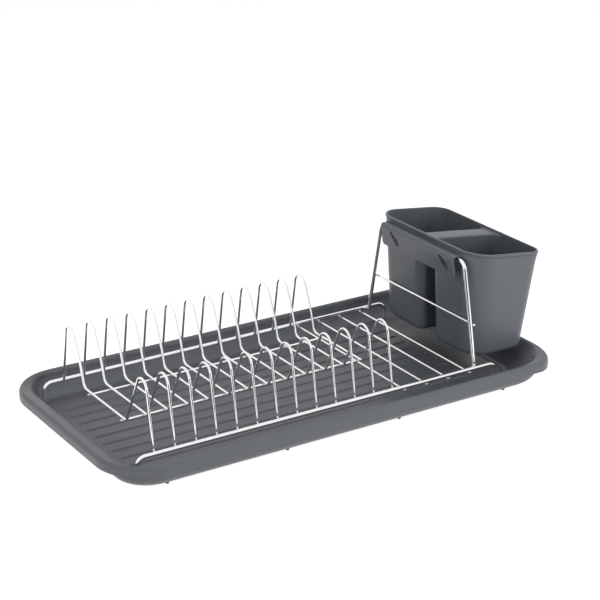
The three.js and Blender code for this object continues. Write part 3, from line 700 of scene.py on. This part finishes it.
# ---------------------------------------------------------------------------
# Caddy arch: one 5 mm plated wire bent into a tall frame that carries the caddy, with a
# thin brace welded across the far side of its legs.

ARCH_X = 187.25
ARCH_HEIGHT, ARCH_TOP_HALF, ARCH_BEND = 121.0, 83.0, 9.0
ARCH_FOOT_Y = RAIL_Y - 2 * RAIL_R - WELD_GAP
ARCH_LEAN = (ARCH_FOOT_Y - ARCH_TOP_HALF) / ARCH_HEIGHT
BRACE_UP, BRACE_OVERHANG = 48.0, 3.2
BRACE_X = ARCH_X + RAIL_R + HOOP_R + WELD_GAP
arch_corners = [
    (ARCH_X, -ARCH_FOOT_Y - ARCH_LEAN * LEG_OVERLAP, RAIL_Z - LEG_OVERLAP),
    (ARCH_X, -ARCH_TOP_HALF, RAIL_Z + ARCH_HEIGHT),
    (ARCH_X, ARCH_TOP_HALF, RAIL_Z + ARCH_HEIGHT),
    (ARCH_X, ARCH_FOOT_Y + ARCH_LEAN * LEG_OVERLAP, RAIL_Z - LEG_OVERLAP),
]
arch_path = bent_path(arch_corners, (ARCH_BEND, ARCH_BEND))
arch = add_mesh("caddy_arch_wire", *wire(arch_path, RAIL_R, (1, 0, 0), RAIL_SIDES), chrome)
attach(arch, "rack")
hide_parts("caddy_arch")

brace_leg_y = ARCH_FOOT_Y - ARCH_LEAN * BRACE_UP
brace_end_y = brace_leg_y + BRACE_OVERHANG
brace_ends = [(BRACE_X, sign * brace_end_y, RAIL_Z + BRACE_UP) for sign in (-1, 1)]
brace = add_mesh("arch_brace_wire", *straight(*brace_ends, HOOP_R, (1, 0, 0)), chrome)
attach(brace, "rack")
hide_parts("arch_brace")


# ---------------------------------------------------------------------------
# Welds: small plated nuggets squeezed out where two wires cross, made by resistance
# welding before the rack is plated.

# Radii along X, Y and Z.
HOOP_NUGGET, TIE_NUGGET, CROSS_NUGGET = (1.5, 0.8, 1.9), (1.3, 1.3, 0.55), (1.5, 1.6, 0.65)
ARCH_NUGGET, BRACE_NUGGET = (1.9, 0.85, 2.0), (0.6, 1.4, 1.4)
NUGGET_RINGS, NUGGET_SIDES, NUGGET_TURN = 7, 12, 1.7


def nugget(centre, size, seed):
    """A rounded blob whose radii along X, Y and Z are size, with two gentle waves round it so
    that no two look alike."""
    rings, sides = NUGGET_RINGS, NUGGET_SIDES
    up = np.linspace(-math.pi / 2, math.pi / 2, rings + 2)[1:-1, None]
    angle = np.linspace(0, 2 * math.pi, sides, endpoint=False)
    lump = 1 + 0.08 * np.sin(2 * angle + seed) + 0.05 * np.sin(3 * angle + 2 * seed)
    points = np.stack([
        size[0] * np.cos(up) * np.cos(angle) * lump,
        size[1] * np.cos(up) * np.sin(angle) * lump,
        size[2] * np.sin(up) * np.ones(sides),
    ], -1).reshape(-1, 3)
    points = np.vstack([points, (0, 0, -size[2]), (0, 0, size[2])]) + np.array(centre)
    bottom, top, high = rings * sides, rings * sides + 1, (rings - 1) * sides
    here = np.arange(sides)
    after = (here + 1) % sides
    caps = [[np.full(sides, bottom), after, here], [np.full(sides, top), high + here, high + after]]
    return points, ring_quads(rings, sides) + np.transpose(caps, (2, 0, 1)).reshape(-1, 3).tolist()


def join_shells(shells):
    """Several closed shells as one list of points and faces."""
    points, faces, offset = [], [], 0
    for shell_points, shell_faces in shells:
        points.append(shell_points)
        faces += [[index + offset for index in face] for face in shell_faces]
        offset += len(shell_points)
    return np.vstack(points), faces


half_gap = WELD_GAP / 2
beside_rail = RAIL_Y - RAIL_R - half_gap
weld_spots = []
for i in range(HOOPS):
    x = FIRST_HOOP_X + i * HOOP_PITCH
    under_run = RAIL_Z + RUN_Z - HOOP_R - half_gap
    weld_spots += [((x, sign * beside_rail, RAIL_Z), HOOP_NUGGET) for sign in (-1, 1)]
    weld_spots += [((x, y, under_run), TIE_NUGGET) for y in FLOOR_WIRE_Y.values()]
for x in CROSS_X:
    under_rail = RAIL_Z - RAIL_R - half_gap
    weld_spots += [((x, sign * RAIL_Y, under_rail), CROSS_NUGGET) for sign in (-1, 1)]
for sign in (-1, 1):
    beside_brace = (BRACE_X - HOOP_R - half_gap, sign * brace_leg_y, RAIL_Z + BRACE_UP)
    weld_spots.append(((ARCH_X, sign * beside_rail, RAIL_Z), ARCH_NUGGET))
    weld_spots.append((beside_brace, BRACE_NUGGET))
weld_chrome = chrome_material(
    "weld_chrome", (0.72, 0.72, 0.73, 1), (0.55, 0.55, 0.56, 1), 0.14, 0.30,
)
nuggets = [nugget(*spot, NUGGET_TURN * k) for k, spot in enumerate(weld_spots)]
welds = add_mesh("rack_welds", *join_shells(nuggets), weld_chrome)
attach(welds, "rack")


# ---------------------------------------------------------------------------
# Caddy: one slate-grey moulding of two tapered buckets joined by a sunk deck and a beaded
# rim, which falls away from the arch. Slots in the floors let water out.

BAR_GAP, RIM_FALL = 0.8, 12.8
CADDY_LEFT = ARCH_X + RAIL_R + BAR_GAP
CADDY_DEPTH, CADDY_HALF = 101.2, 99.75
CADDY_BOTTOM, CADDY_TOP = 28.9, 161.0
CADDY_HEIGHT = CADDY_TOP - CADDY_BOTTOM
RIM_SLOPE = RIM_FALL / CADDY_DEPTH
CADDY_WALL, CADDY_FLOOR = 2.2, 2.6
GAP_FRONT, GAP_BACK = -12.4, 7.2
DECK_DROP, DECK_THICK = 2.8, 2.2
HOOK_CORNER, FAR_CORNER, GAP_CORNER = 31.0, 18.0, 12.5
BOTTOM_ROUND, SMALLEST_CORNER = 8.0, 0.4
CADDY_STEPS, DRAIN_STEPS = 14, 8
DRAINS, DRAIN_LENGTH, DRAIN_WIDTH, DRAIN_PITCH = 4, 44, 4.5, 15
CUT_PAST = 2

# Left, right, front and back faces at the rim, each with how far it leans in by the bottom.
LEFT_FACE, RIGHT_FACE = (CADDY_LEFT, 5.2), (CADDY_LEFT + CADDY_DEPTH, 18)
FRONT_FACE, BACK_FACE = (-CADDY_HALF, 5.6), (CADDY_HALF, 5.6)
FRONT_BUCKET = (LEFT_FACE, RIGHT_FACE, FRONT_FACE, (GAP_FRONT, 2.4))
BACK_BUCKET = (LEFT_FACE, RIGHT_FACE, (GAP_BACK, 2.4), BACK_FACE)
WHOLE_RIM = (LEFT_FACE, RIGHT_FACE, FRONT_FACE, BACK_FACE)
FRONT_CORNERS = (HOOK_CORNER, FAR_CORNER, GAP_CORNER, GAP_CORNER)
BACK_CORNERS = (GAP_CORNER, GAP_CORNER, FAR_CORNER, HOOK_CORNER)
RIM_CORNER_RADII = (HOOK_CORNER, FAR_CORNER, FAR_CORNER, HOOK_CORNER)

# Each pair here is the way in from the wall's face, then the drop below the rim.
BEAD_GROOVE = ((0, 4.2), (0.05, 4.0), (0.4, 3.7), (0.4, 2.0))
BEAD_PROFILE = (
    (0, 3.0), (-0.45, 2.92), (-0.78, 2.55), (-0.9, 1.9),
    (-0.88, 1.1), (-0.68, 0.5), (-0.3, 0.1), (0.2, 0),
)
WELL_PROFILE = (
    (3.3, DECK_DROP), (2.8, DECK_DROP - 0.1), (2.5, DECK_DROP - 0.6), (2.5, 0.7),
    (2.35, 0.3), (2.0, 0.05), (1.9, -0.1), (1.9, -2),
)
# A mouth's lip: the way out from the hollow's face, then the drop below the rim or the deck.
LIP_AT_RIM = ((0, 0.9), (0.05, 0.6), (0.18, 0.32), (0.4, 0.1), (0.6, 0), (0.7, -0.1))
LIP_AT_DECK = ((0, 2.0), (0.15, 1.3), (0.5, 0.65), (1.0, 0.2), (1.6, 0), (2.0, -0.1))
LIP_BLEND = (GAP_CORNER - 3.5, GAP_CORNER - 0.5)
HOLLOW_RISE, HOLLOW_PAST = 3, 6


def arc(centre, radius, start, end, steps):
    """Points on a circle from the start angle to the end angle, both in radians."""
    angles = np.linspace(start, end, steps + 1)
    return np.array(centre) + radius * np.column_stack([np.cos(angles), np.sin(angles)])


def rim_height(x):
    """The rim's top, which falls evenly from the hook side to the far side."""
    return CADDY_TOP - RIM_SLOPE * (x - CADDY_LEFT)


def caddy_ring(faces, corners, up, inset, drop=0.0):
    """A rounded rectangle at a share up of the caddy's height, set in by inset. Its corners,
    from the front left anticlockwise, are quarter circles, and its height follows the sloping
    rim."""
    (left, lean_l), (right, lean_r), (front, lean_f), (back, lean_b) = faces
    away = 1 - up
    x0, x1 = left + lean_l * away + inset, right - lean_r * away - inset
    y0, y1 = front + lean_f * away + inset, back - lean_b * away - inset
    radii = [max(radius - inset, SMALLEST_CORNER) for radius in corners]
    centres = [
        (x0 + radii[0], y0 + radii[0]), (x1 - radii[1], y0 + radii[1]),
        (x1 - radii[2], y1 - radii[2]), (x0 + radii[3], y1 - radii[3]),
    ]
    turns = math.pi + np.arange(5) * math.pi / 2
    points = np.vstack([
        arc(centre, radius, start, end, CADDY_STEPS)
        for centre, radius, start, end in zip(centres, radii, turns, turns[1:])
    ])
    z = CADDY_BOTTOM + up * (rim_height(points[:, 0]) - CADDY_BOTTOM) - drop
    return np.column_stack([points, z])


def closed_loft(rings):
    """Rings joined by quads and closed by one face at each end. The first ring is the lowest."""
    columns = len(rings[0])
    count = len(rings) * columns
    faces = ring_quads(len(rings), columns)
    faces += [list(range(columns))[::-1], list(range(count - columns, count))]
    return np.vstack(rings), faces


def bucket_outer(faces, corners):
    """A bucket's outside: a quarter-round bottom edge, leaning walls, and a fine groove just
    under the rim's bead."""
    rings = []
    for a in np.linspace(0.15, 1, 7) * math.pi / 2:
        share = BOTTOM_ROUND * (1 - math.cos(a)) / CADDY_HEIGHT
        rings.append(caddy_ring(faces, corners, share, BOTTOM_ROUND * (1 - math.sin(a))))
    rings += [caddy_ring(faces, corners, up, 0) for up in (0.15, 0.3, 0.45, 0.6, 0.75, 0.9)]
    rings += [caddy_ring(faces, corners, 1, inset, drop) for inset, drop in BEAD_GROOVE]
    return closed_loft(rings)


def bucket_inner(faces, corners):
    """A bucket's hollow: a rounded floor edge and leaning walls. Its mouth flares to round the
    lip: a little at the rim, and more, and lower, along the deck. A soft step near the deck's
    side blends the two."""
    fillet = BOTTOM_ROUND / 2
    rings = []
    for a in np.linspace(0, 1, 6) * math.pi / 2:
        share = CADDY_FLOOR / CADDY_HEIGHT + fillet * (1 - math.cos(a)) / CADDY_HEIGHT
        rings.append(caddy_ring(faces, corners, share, CADDY_WALL + fillet * (1 - math.sin(a))))
    rings += [caddy_ring(faces, corners, up, CADDY_WALL) for up in (0.2, 0.5, 0.8)]
    rings.append(caddy_ring(faces, corners, 1, CADDY_WALL, DECK_DROP + HOLLOW_RISE))
    deck_y = faces[3][0] if faces[3][0] < CADDY_HALF else faces[2][0]
    for (rim_out, rim_drop), (deck_out, deck_drop) in zip(LIP_AT_RIM, LIP_AT_DECK):
        rim = caddy_ring(faces, corners, 1, CADDY_WALL - rim_out, rim_drop)
        deck = caddy_ring(faces, corners, 1, CADDY_WALL - deck_out, DECK_DROP + deck_drop)
        near = 1 - soft_step(np.abs(rim[:, 1] - deck_y), *LIP_BLEND)[:, None]
        rings.append(rim * (1 - near) + deck * near)
    rings.append(rings[-1] + np.array((0, 0, HOLLOW_PAST)))
    return closed_loft(rings)


def rim_bead():
    """The rim's bead: a half-round band outside the walls, closed across the top of the caddy."""
    return closed_loft([caddy_ring(WHOLE_RIM, RIM_CORNER_RADII, 1, *pair) for pair in BEAD_PROFILE])


def deck_slab():
    """The deck between the buckets: a flat sheet just under the rim whose edges end inside the
    walls."""
    faces = (LEFT_FACE, RIGHT_FACE, (GAP_FRONT - CADDY_WALL, 0), (GAP_BACK + CADDY_WALL, 0))
    corners, drops = (CADDY_WALL,) * 4, (DECK_DROP + DECK_THICK, DECK_DROP)
    return closed_loft([caddy_ring(faces, corners, 1, CADDY_WALL / 2, drop) for drop in drops])


def rim_well():
    """What is cut away above the deck, with a small fillet at its foot and a flare at the rim."""
    reach = 2 * GAP_CORNER
    faces = (LEFT_FACE, RIGHT_FACE, (GAP_FRONT - reach, 0), (GAP_BACK + reach, 0))
    return closed_loft([caddy_ring(faces, (GAP_CORNER,) * 4, 1, *pair) for pair in WELL_PROFILE])


def prism(outline, low, high):
    """A flat outline in X and Y, anticlockwise, raised from low to high."""
    outline = np.asarray(outline, float)
    return closed_loft([np.column_stack([outline, np.full(len(outline), z)]) for z in (low, high)])


def capsule(length, width):
    """A bar with round ends, centred on the origin and lying along X."""
    radius, reach = width / 2, (length - width) / 2
    right = arc((reach, 0), radius, -math.pi / 2, math.pi / 2, DRAIN_STEPS)
    return np.vstack([right, -right])


def drain_slots(faces):
    """Four slots side by side through a bucket's floor, each a round-ended bar cut right
    through."""
    (left, lean_l), (right, lean_r), (front, lean_f), (back, lean_b) = faces
    middle_x = (left + lean_l + right - lean_r) / 2
    middle_y = (front + lean_f + back - lean_b) / 2
    low, high = CADDY_BOTTOM - CUT_PAST, CADDY_BOTTOM + CADDY_FLOOR + CUT_PAST
    slots = []
    for i in range(DRAINS):
        centre = np.array((middle_x, middle_y + (i - (DRAINS - 1) / 2) * DRAIN_PITCH))
        slots.append(prism(capsule(DRAIN_LENGTH, DRAIN_WIDTH) + centre, low, high))
    return join_shells(slots)


def carve(name, base, steps, material, sharp):
    """A solid to which others are added or from which they are cut, one after another, as one
    mesh."""
    helpers = [add_mesh(f"{name}_base", *base)]
    for k, (operation, shell) in enumerate(steps):
        helper = add_mesh(f"{name}_step_{k}", *shell)
        modifier = helpers[0].modifiers.new(f"step_{k}", "BOOLEAN")
        modifier.operation = operation
        modifier.solver = "EXACT"
        modifier.object = helper
        helpers.append(helper)
    graph = bpy.context.evaluated_depsgraph_get()
    mesh = bpy.data.meshes.new_from_object(helpers[0].evaluated_get(graph))
    mesh.name = name
    mesh.materials.clear()
    mesh.materials.append(material)
    mesh.set_sharp_from_angle(angle=math.radians(sharp))
    for helper in helpers:
        bpy.data.objects.remove(helper)
    piece = bpy.data.objects.new(name, mesh)
    bpy.context.scene.collection.objects.link(piece)
    return piece


slate = plastic(
    "caddy_slate",
    dark=(0.132, 0.145, 0.162, 1), light=(0.156, 0.171, 0.191, 1), rubbed=(0.187, 0.203, 0.226, 1),
    rough=0.36, grain=0.22,
)
caddy = carve(
    "cutlery_caddy",
    bucket_outer(FRONT_BUCKET, FRONT_CORNERS),
    [
        ("UNION", bucket_outer(BACK_BUCKET, BACK_CORNERS)),
        ("UNION", rim_bead()),
        ("DIFFERENCE", bucket_inner(FRONT_BUCKET, FRONT_CORNERS)),
        ("DIFFERENCE", bucket_inner(BACK_BUCKET, BACK_CORNERS)),
        ("DIFFERENCE", rim_well()),
        ("UNION", deck_slab()),
        ("DIFFERENCE", drain_slots(FRONT_BUCKET)),
        ("DIFFERENCE", drain_slots(BACK_BUCKET)),
    ],
    slate, 38,
)
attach(caddy, "caddy")
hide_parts("caddy")


# ---------------------------------------------------------------------------
# Hook: a ledge moulded on the caddy's wall that lies over the arch's bar, and an apron that
# hangs down the bar's other side, pierced by two leaf-shaped slots.

HANG_GAP, APRON_GAP = 0.3, 4.5          # over the arch's bar and beside it
LEDGE_UNDER = RAIL_Z + ARCH_HEIGHT + RAIL_R + HANG_GAP
HOOK_LENGTH, HOOK_SHIFT, HOOK_THICK = 144.0, 0.0, 2.2
HOOK_STATIONS = 29
APRON_THICK, APRON_DROP, APRON_LEAN, APRON_CORNER = 1.8, 25.4, 0.133, 4.0
APRON_X = ARCH_X - RAIL_R - APRON_GAP - APRON_THICK
APRON_CUT = (6, 8)                      # how far a cutter reaches past its two faces
CORNER_CUT = 3
OUTER_BEND, INNER_BEND = 4.0, 1.6
ROOT_IN, ROOT_OUT, UPSTAND = 1.9, 0.3, 2.4
SLOT_SPREAD, SLOT_SHIFT, SLOT_DEPTH = 98.0, -3.0, 10.4
SLOT_REACH, SLOT_FALL, SLOT_TIP, SLOT_BULB = 5.1, 4.9, 2.2, 4.6


def ledge_section():
    """The ledge and apron as one bent sheet, in X and Z, with a short upstand that roots it in
    the caddy. The outside line goes out along the top, round the bend and down, and the inside
    line comes back."""
    top, bottom = LEDGE_UNDER + HOOK_THICK, LEDGE_UNDER - APRON_DROP
    lean = APRON_LEAN * APRON_DROP
    inside = APRON_X + APRON_THICK
    outer_edge, inner_edge = (APRON_X + lean, bottom), (APRON_X + lean + APRON_THICK, bottom)
    outer_centre = (APRON_X + OUTER_BEND, top - OUTER_BEND)
    inner_centre = (inside + INNER_BEND, LEDGE_UNDER - INNER_BEND)
    return np.vstack([
        (CADDY_LEFT + ROOT_IN, top + UPSTAND),
        (CADDY_LEFT + ROOT_OUT, top + UPSTAND),
        (CADDY_LEFT + ROOT_OUT, top),
        arc(outer_centre, OUTER_BEND, math.pi / 2, math.pi, 8),
        np.linspace((APRON_X, top - OUTER_BEND), outer_edge, 5)[1:],
        np.linspace(inner_edge, (inside, LEDGE_UNDER - INNER_BEND), 5)[:-1],
        arc(inner_centre, INNER_BEND, math.pi, math.pi / 2, 5),
        (CADDY_LEFT + ROOT_IN, LEDGE_UNDER),
    ])


def hook_sheet():
    """The bent sheet drawn out along Y, with its faces outward."""
    section = ledge_section()
    end = HOOK_LENGTH / 2
    stations = np.linspace(HOOK_SHIFT + end, HOOK_SHIFT - end, HOOK_STATIONS)
    return closed_loft([np.insert(section, 1, y, axis=1) for y in stations])


def through_apron(outline):
    """A flat outline in Y and Z as a cutter that passes through the apron along X."""
    before, past = APRON_CUT
    points, faces = prism(outline, APRON_X - before, APRON_X + APRON_THICK + past)
    return points[:, [2, 0, 1]], faces


def leaf_slot(y):
    """A leaf slot's cutter: a small round at the upper end and a larger one at the lower end,
    joined by the two lines that touch both."""
    tip = np.array((y + SLOT_REACH, LEDGE_UNDER - SLOT_DEPTH + SLOT_FALL))
    bulb = np.array((y - SLOT_REACH, LEDGE_UNDER - SLOT_DEPTH - SLOT_FALL))
    run = tip - bulb
    across = math.atan2(run[1], run[0]) + math.pi / 2
    spread = math.asin((SLOT_BULB - SLOT_TIP) / np.linalg.norm(run))
    start, end = across - spread, across + math.pi + spread
    return through_apron(np.vstack([
        arc(bulb, SLOT_BULB, start, end, 18),
        arc(tip, SLOT_TIP, end, start + 2 * math.pi, 10),
    ]))


def corner_cutter(sign):
    """What lies outside the apron's round lower corner, on one side."""
    y, z = HOOK_SHIFT + sign * HOOK_LENGTH / 2, LEDGE_UNDER - APRON_DROP
    centre = np.array((y - sign * APRON_CORNER, z + APRON_CORNER))
    past_y, past_z = y + sign * CORNER_CUT, z - CORNER_CUT
    outline = np.vstack([
        centre + arc((0, 0), APRON_CORNER, -math.pi / 2, 0, 12) * (sign, 1),
        (past_y, centre[1]), (past_y, past_z), (centre[0], past_z),
    ])
    return through_apron(outline[::-1] if sign > 0 else outline)


hook = carve(
    "caddy_hook",
    hook_sheet(),
    [
        ("DIFFERENCE", corner_cutter(-1)),
        ("DIFFERENCE", corner_cutter(1)),
        ("DIFFERENCE", leaf_slot(HOOK_SHIFT + SLOT_SHIFT - SLOT_SPREAD / 2)),
        ("DIFFERENCE", leaf_slot(HOOK_SHIFT + SLOT_SHIFT + SLOT_SPREAD / 2)),
    ],
    slate, 35,
)
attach(hook, "caddy")
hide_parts("caddy")


# ---------------------------------------------------------------------------
# Setting: a white table and surround, four soft lamps round the front and sides and over the
# top, and dark cards far in front, which only draw dark lines along the wires.

LAMP_SIZE, LAMP_AIM = 1.0, np.array((0.05, 0, 0.05))
LAMPS = (
    ("front", (0.15, -1.8, 0.5), 11.5),
    ("right", (1.5, -1.0, 0.9), 7.5),
    ("left", (-1.6, 0, 0.85), 7.5),
    ("over", (0, 0, 1.8), 5.5),
)
SURROUND_LIGHT, TABLE_GLOW = 0.1, 0.85
WHITE = (1, 1, 1, 1)
TABLE_HALF = 9000

bpy.context.scene.view_settings.view_transform = "Standard"


def seen_plainly(tree, lit, plain):
    """Mixes two shaders: plain where a camera, glossy or transmission ray arrives, lit for all
    other light."""
    path = put(tree, "ShaderNodeLightPath").outputs
    seen = reckon(tree, "MAXIMUM", path["Is Camera Ray"], path["Is Glossy Ray"])
    seen = reckon(tree, "MAXIMUM", seen, path["Is Transmission Ray"])
    return put(tree, "ShaderNodeMixShader", {0: seen, 1: lit, 2: plain}).outputs[0]


world = bpy.data.worlds.new("studio")
world.use_nodes = True
sky = world.node_tree
sky.nodes.clear()
around = put(sky, "ShaderNodeBackground", {"Color": WHITE, "Strength": SURROUND_LIGHT})
behind = put(sky, "ShaderNodeBackground", {"Color": WHITE, "Strength": 1.0})
world_output = sky.nodes.new("ShaderNodeOutputWorld")
sky.links.new(seen_plainly(sky, around.outputs[0], behind.outputs[0]), world_output.inputs[0])
bpy.context.scene.world = world

# Each lamp is a soft square that faces the drainer and stays out of reflections.
for name, place, power in LAMPS:
    data = bpy.data.lights.new(name, "AREA")
    data.shape = "SQUARE"
    data.size = LAMP_SIZE
    data.energy = power
    light = bpy.data.objects.new(name, data)
    x, y, z = LAMP_AIM - np.array(place)
    light.rotation_euler = (math.atan2(math.hypot(x, y), -z), 0, math.atan2(y, x) - math.pi / 2)
    light.location = place
    light.visible_glossy = False
    bpy.context.scene.collection.objects.link(light)


def floor_material():
    """White table top: bright to the camera, with the object's shadow kept by a share of plain
    shading."""
    material = bpy.data.materials.new("table_white")
    material.use_nodes = True
    tree = material.node_tree
    tree.nodes.clear()
    mottle = noise(tree, put(tree, "ShaderNodeTexCoord").outputs["Object"], 3.0)
    white = blend(tree, mottle, (0.86, 0.86, 0.865, 1), (0.88, 0.88, 0.88, 1))
    lit = put(tree, "ShaderNodeBsdfDiffuse", {"Color": white}).outputs[0]
    glow = put(tree, "ShaderNodeEmission", {"Color": WHITE, "Strength": TABLE_GLOW})
    seen = put(tree, "ShaderNodeAddShader", {0: lit, 1: glow.outputs[0]})
    output = tree.nodes.new("ShaderNodeOutputMaterial")
    tree.links.new(seen_plainly(tree, lit, seen.outputs[0]), output.inputs["Surface"])
    return material


table_corners = np.array(((-1, -1, 0), (1, -1, 0), (1, 1, 0), (-1, 1, 0))) * TABLE_HALF
table = add_mesh("table_top", table_corners, [(0, 1, 2, 3)], floor_material())


def card_material():
    """Black card, a little uneven."""
    material, tree, shader = new_material("card_black")
    mottle = noise(tree, put(tree, "ShaderNodeTexCoord").outputs["Object"], 5.0)
    dark = blend(tree, mottle, (0.01, 0.01, 0.01, 1), (0.03, 0.03, 0.03, 1))
    tree.links.new(dark, shader.inputs["Base Color"])
    shader.inputs["Roughness"].default_value = 1.0
    return material


# Two cards that only reflections show: one lies on the table, one stands behind it.
card_black = card_material()
for name, corners in (
    ("dark_floor", [(-4500, -2600, 1), (300, -2600, 1), (190, -450, 1), (-820, -450, 1)]),
    ("dark_wall", [(-4500, -2600, 1), (-4500, -2600, 260), (300, -2600, 260), (300, -2600, 1)]),
):
    piece = add_mesh(name, corners, [(0, 1, 2, 3)], card_black)
    piece.visible_camera = False
    piece.visible_diffuse = False
    piece.visible_shadow = False
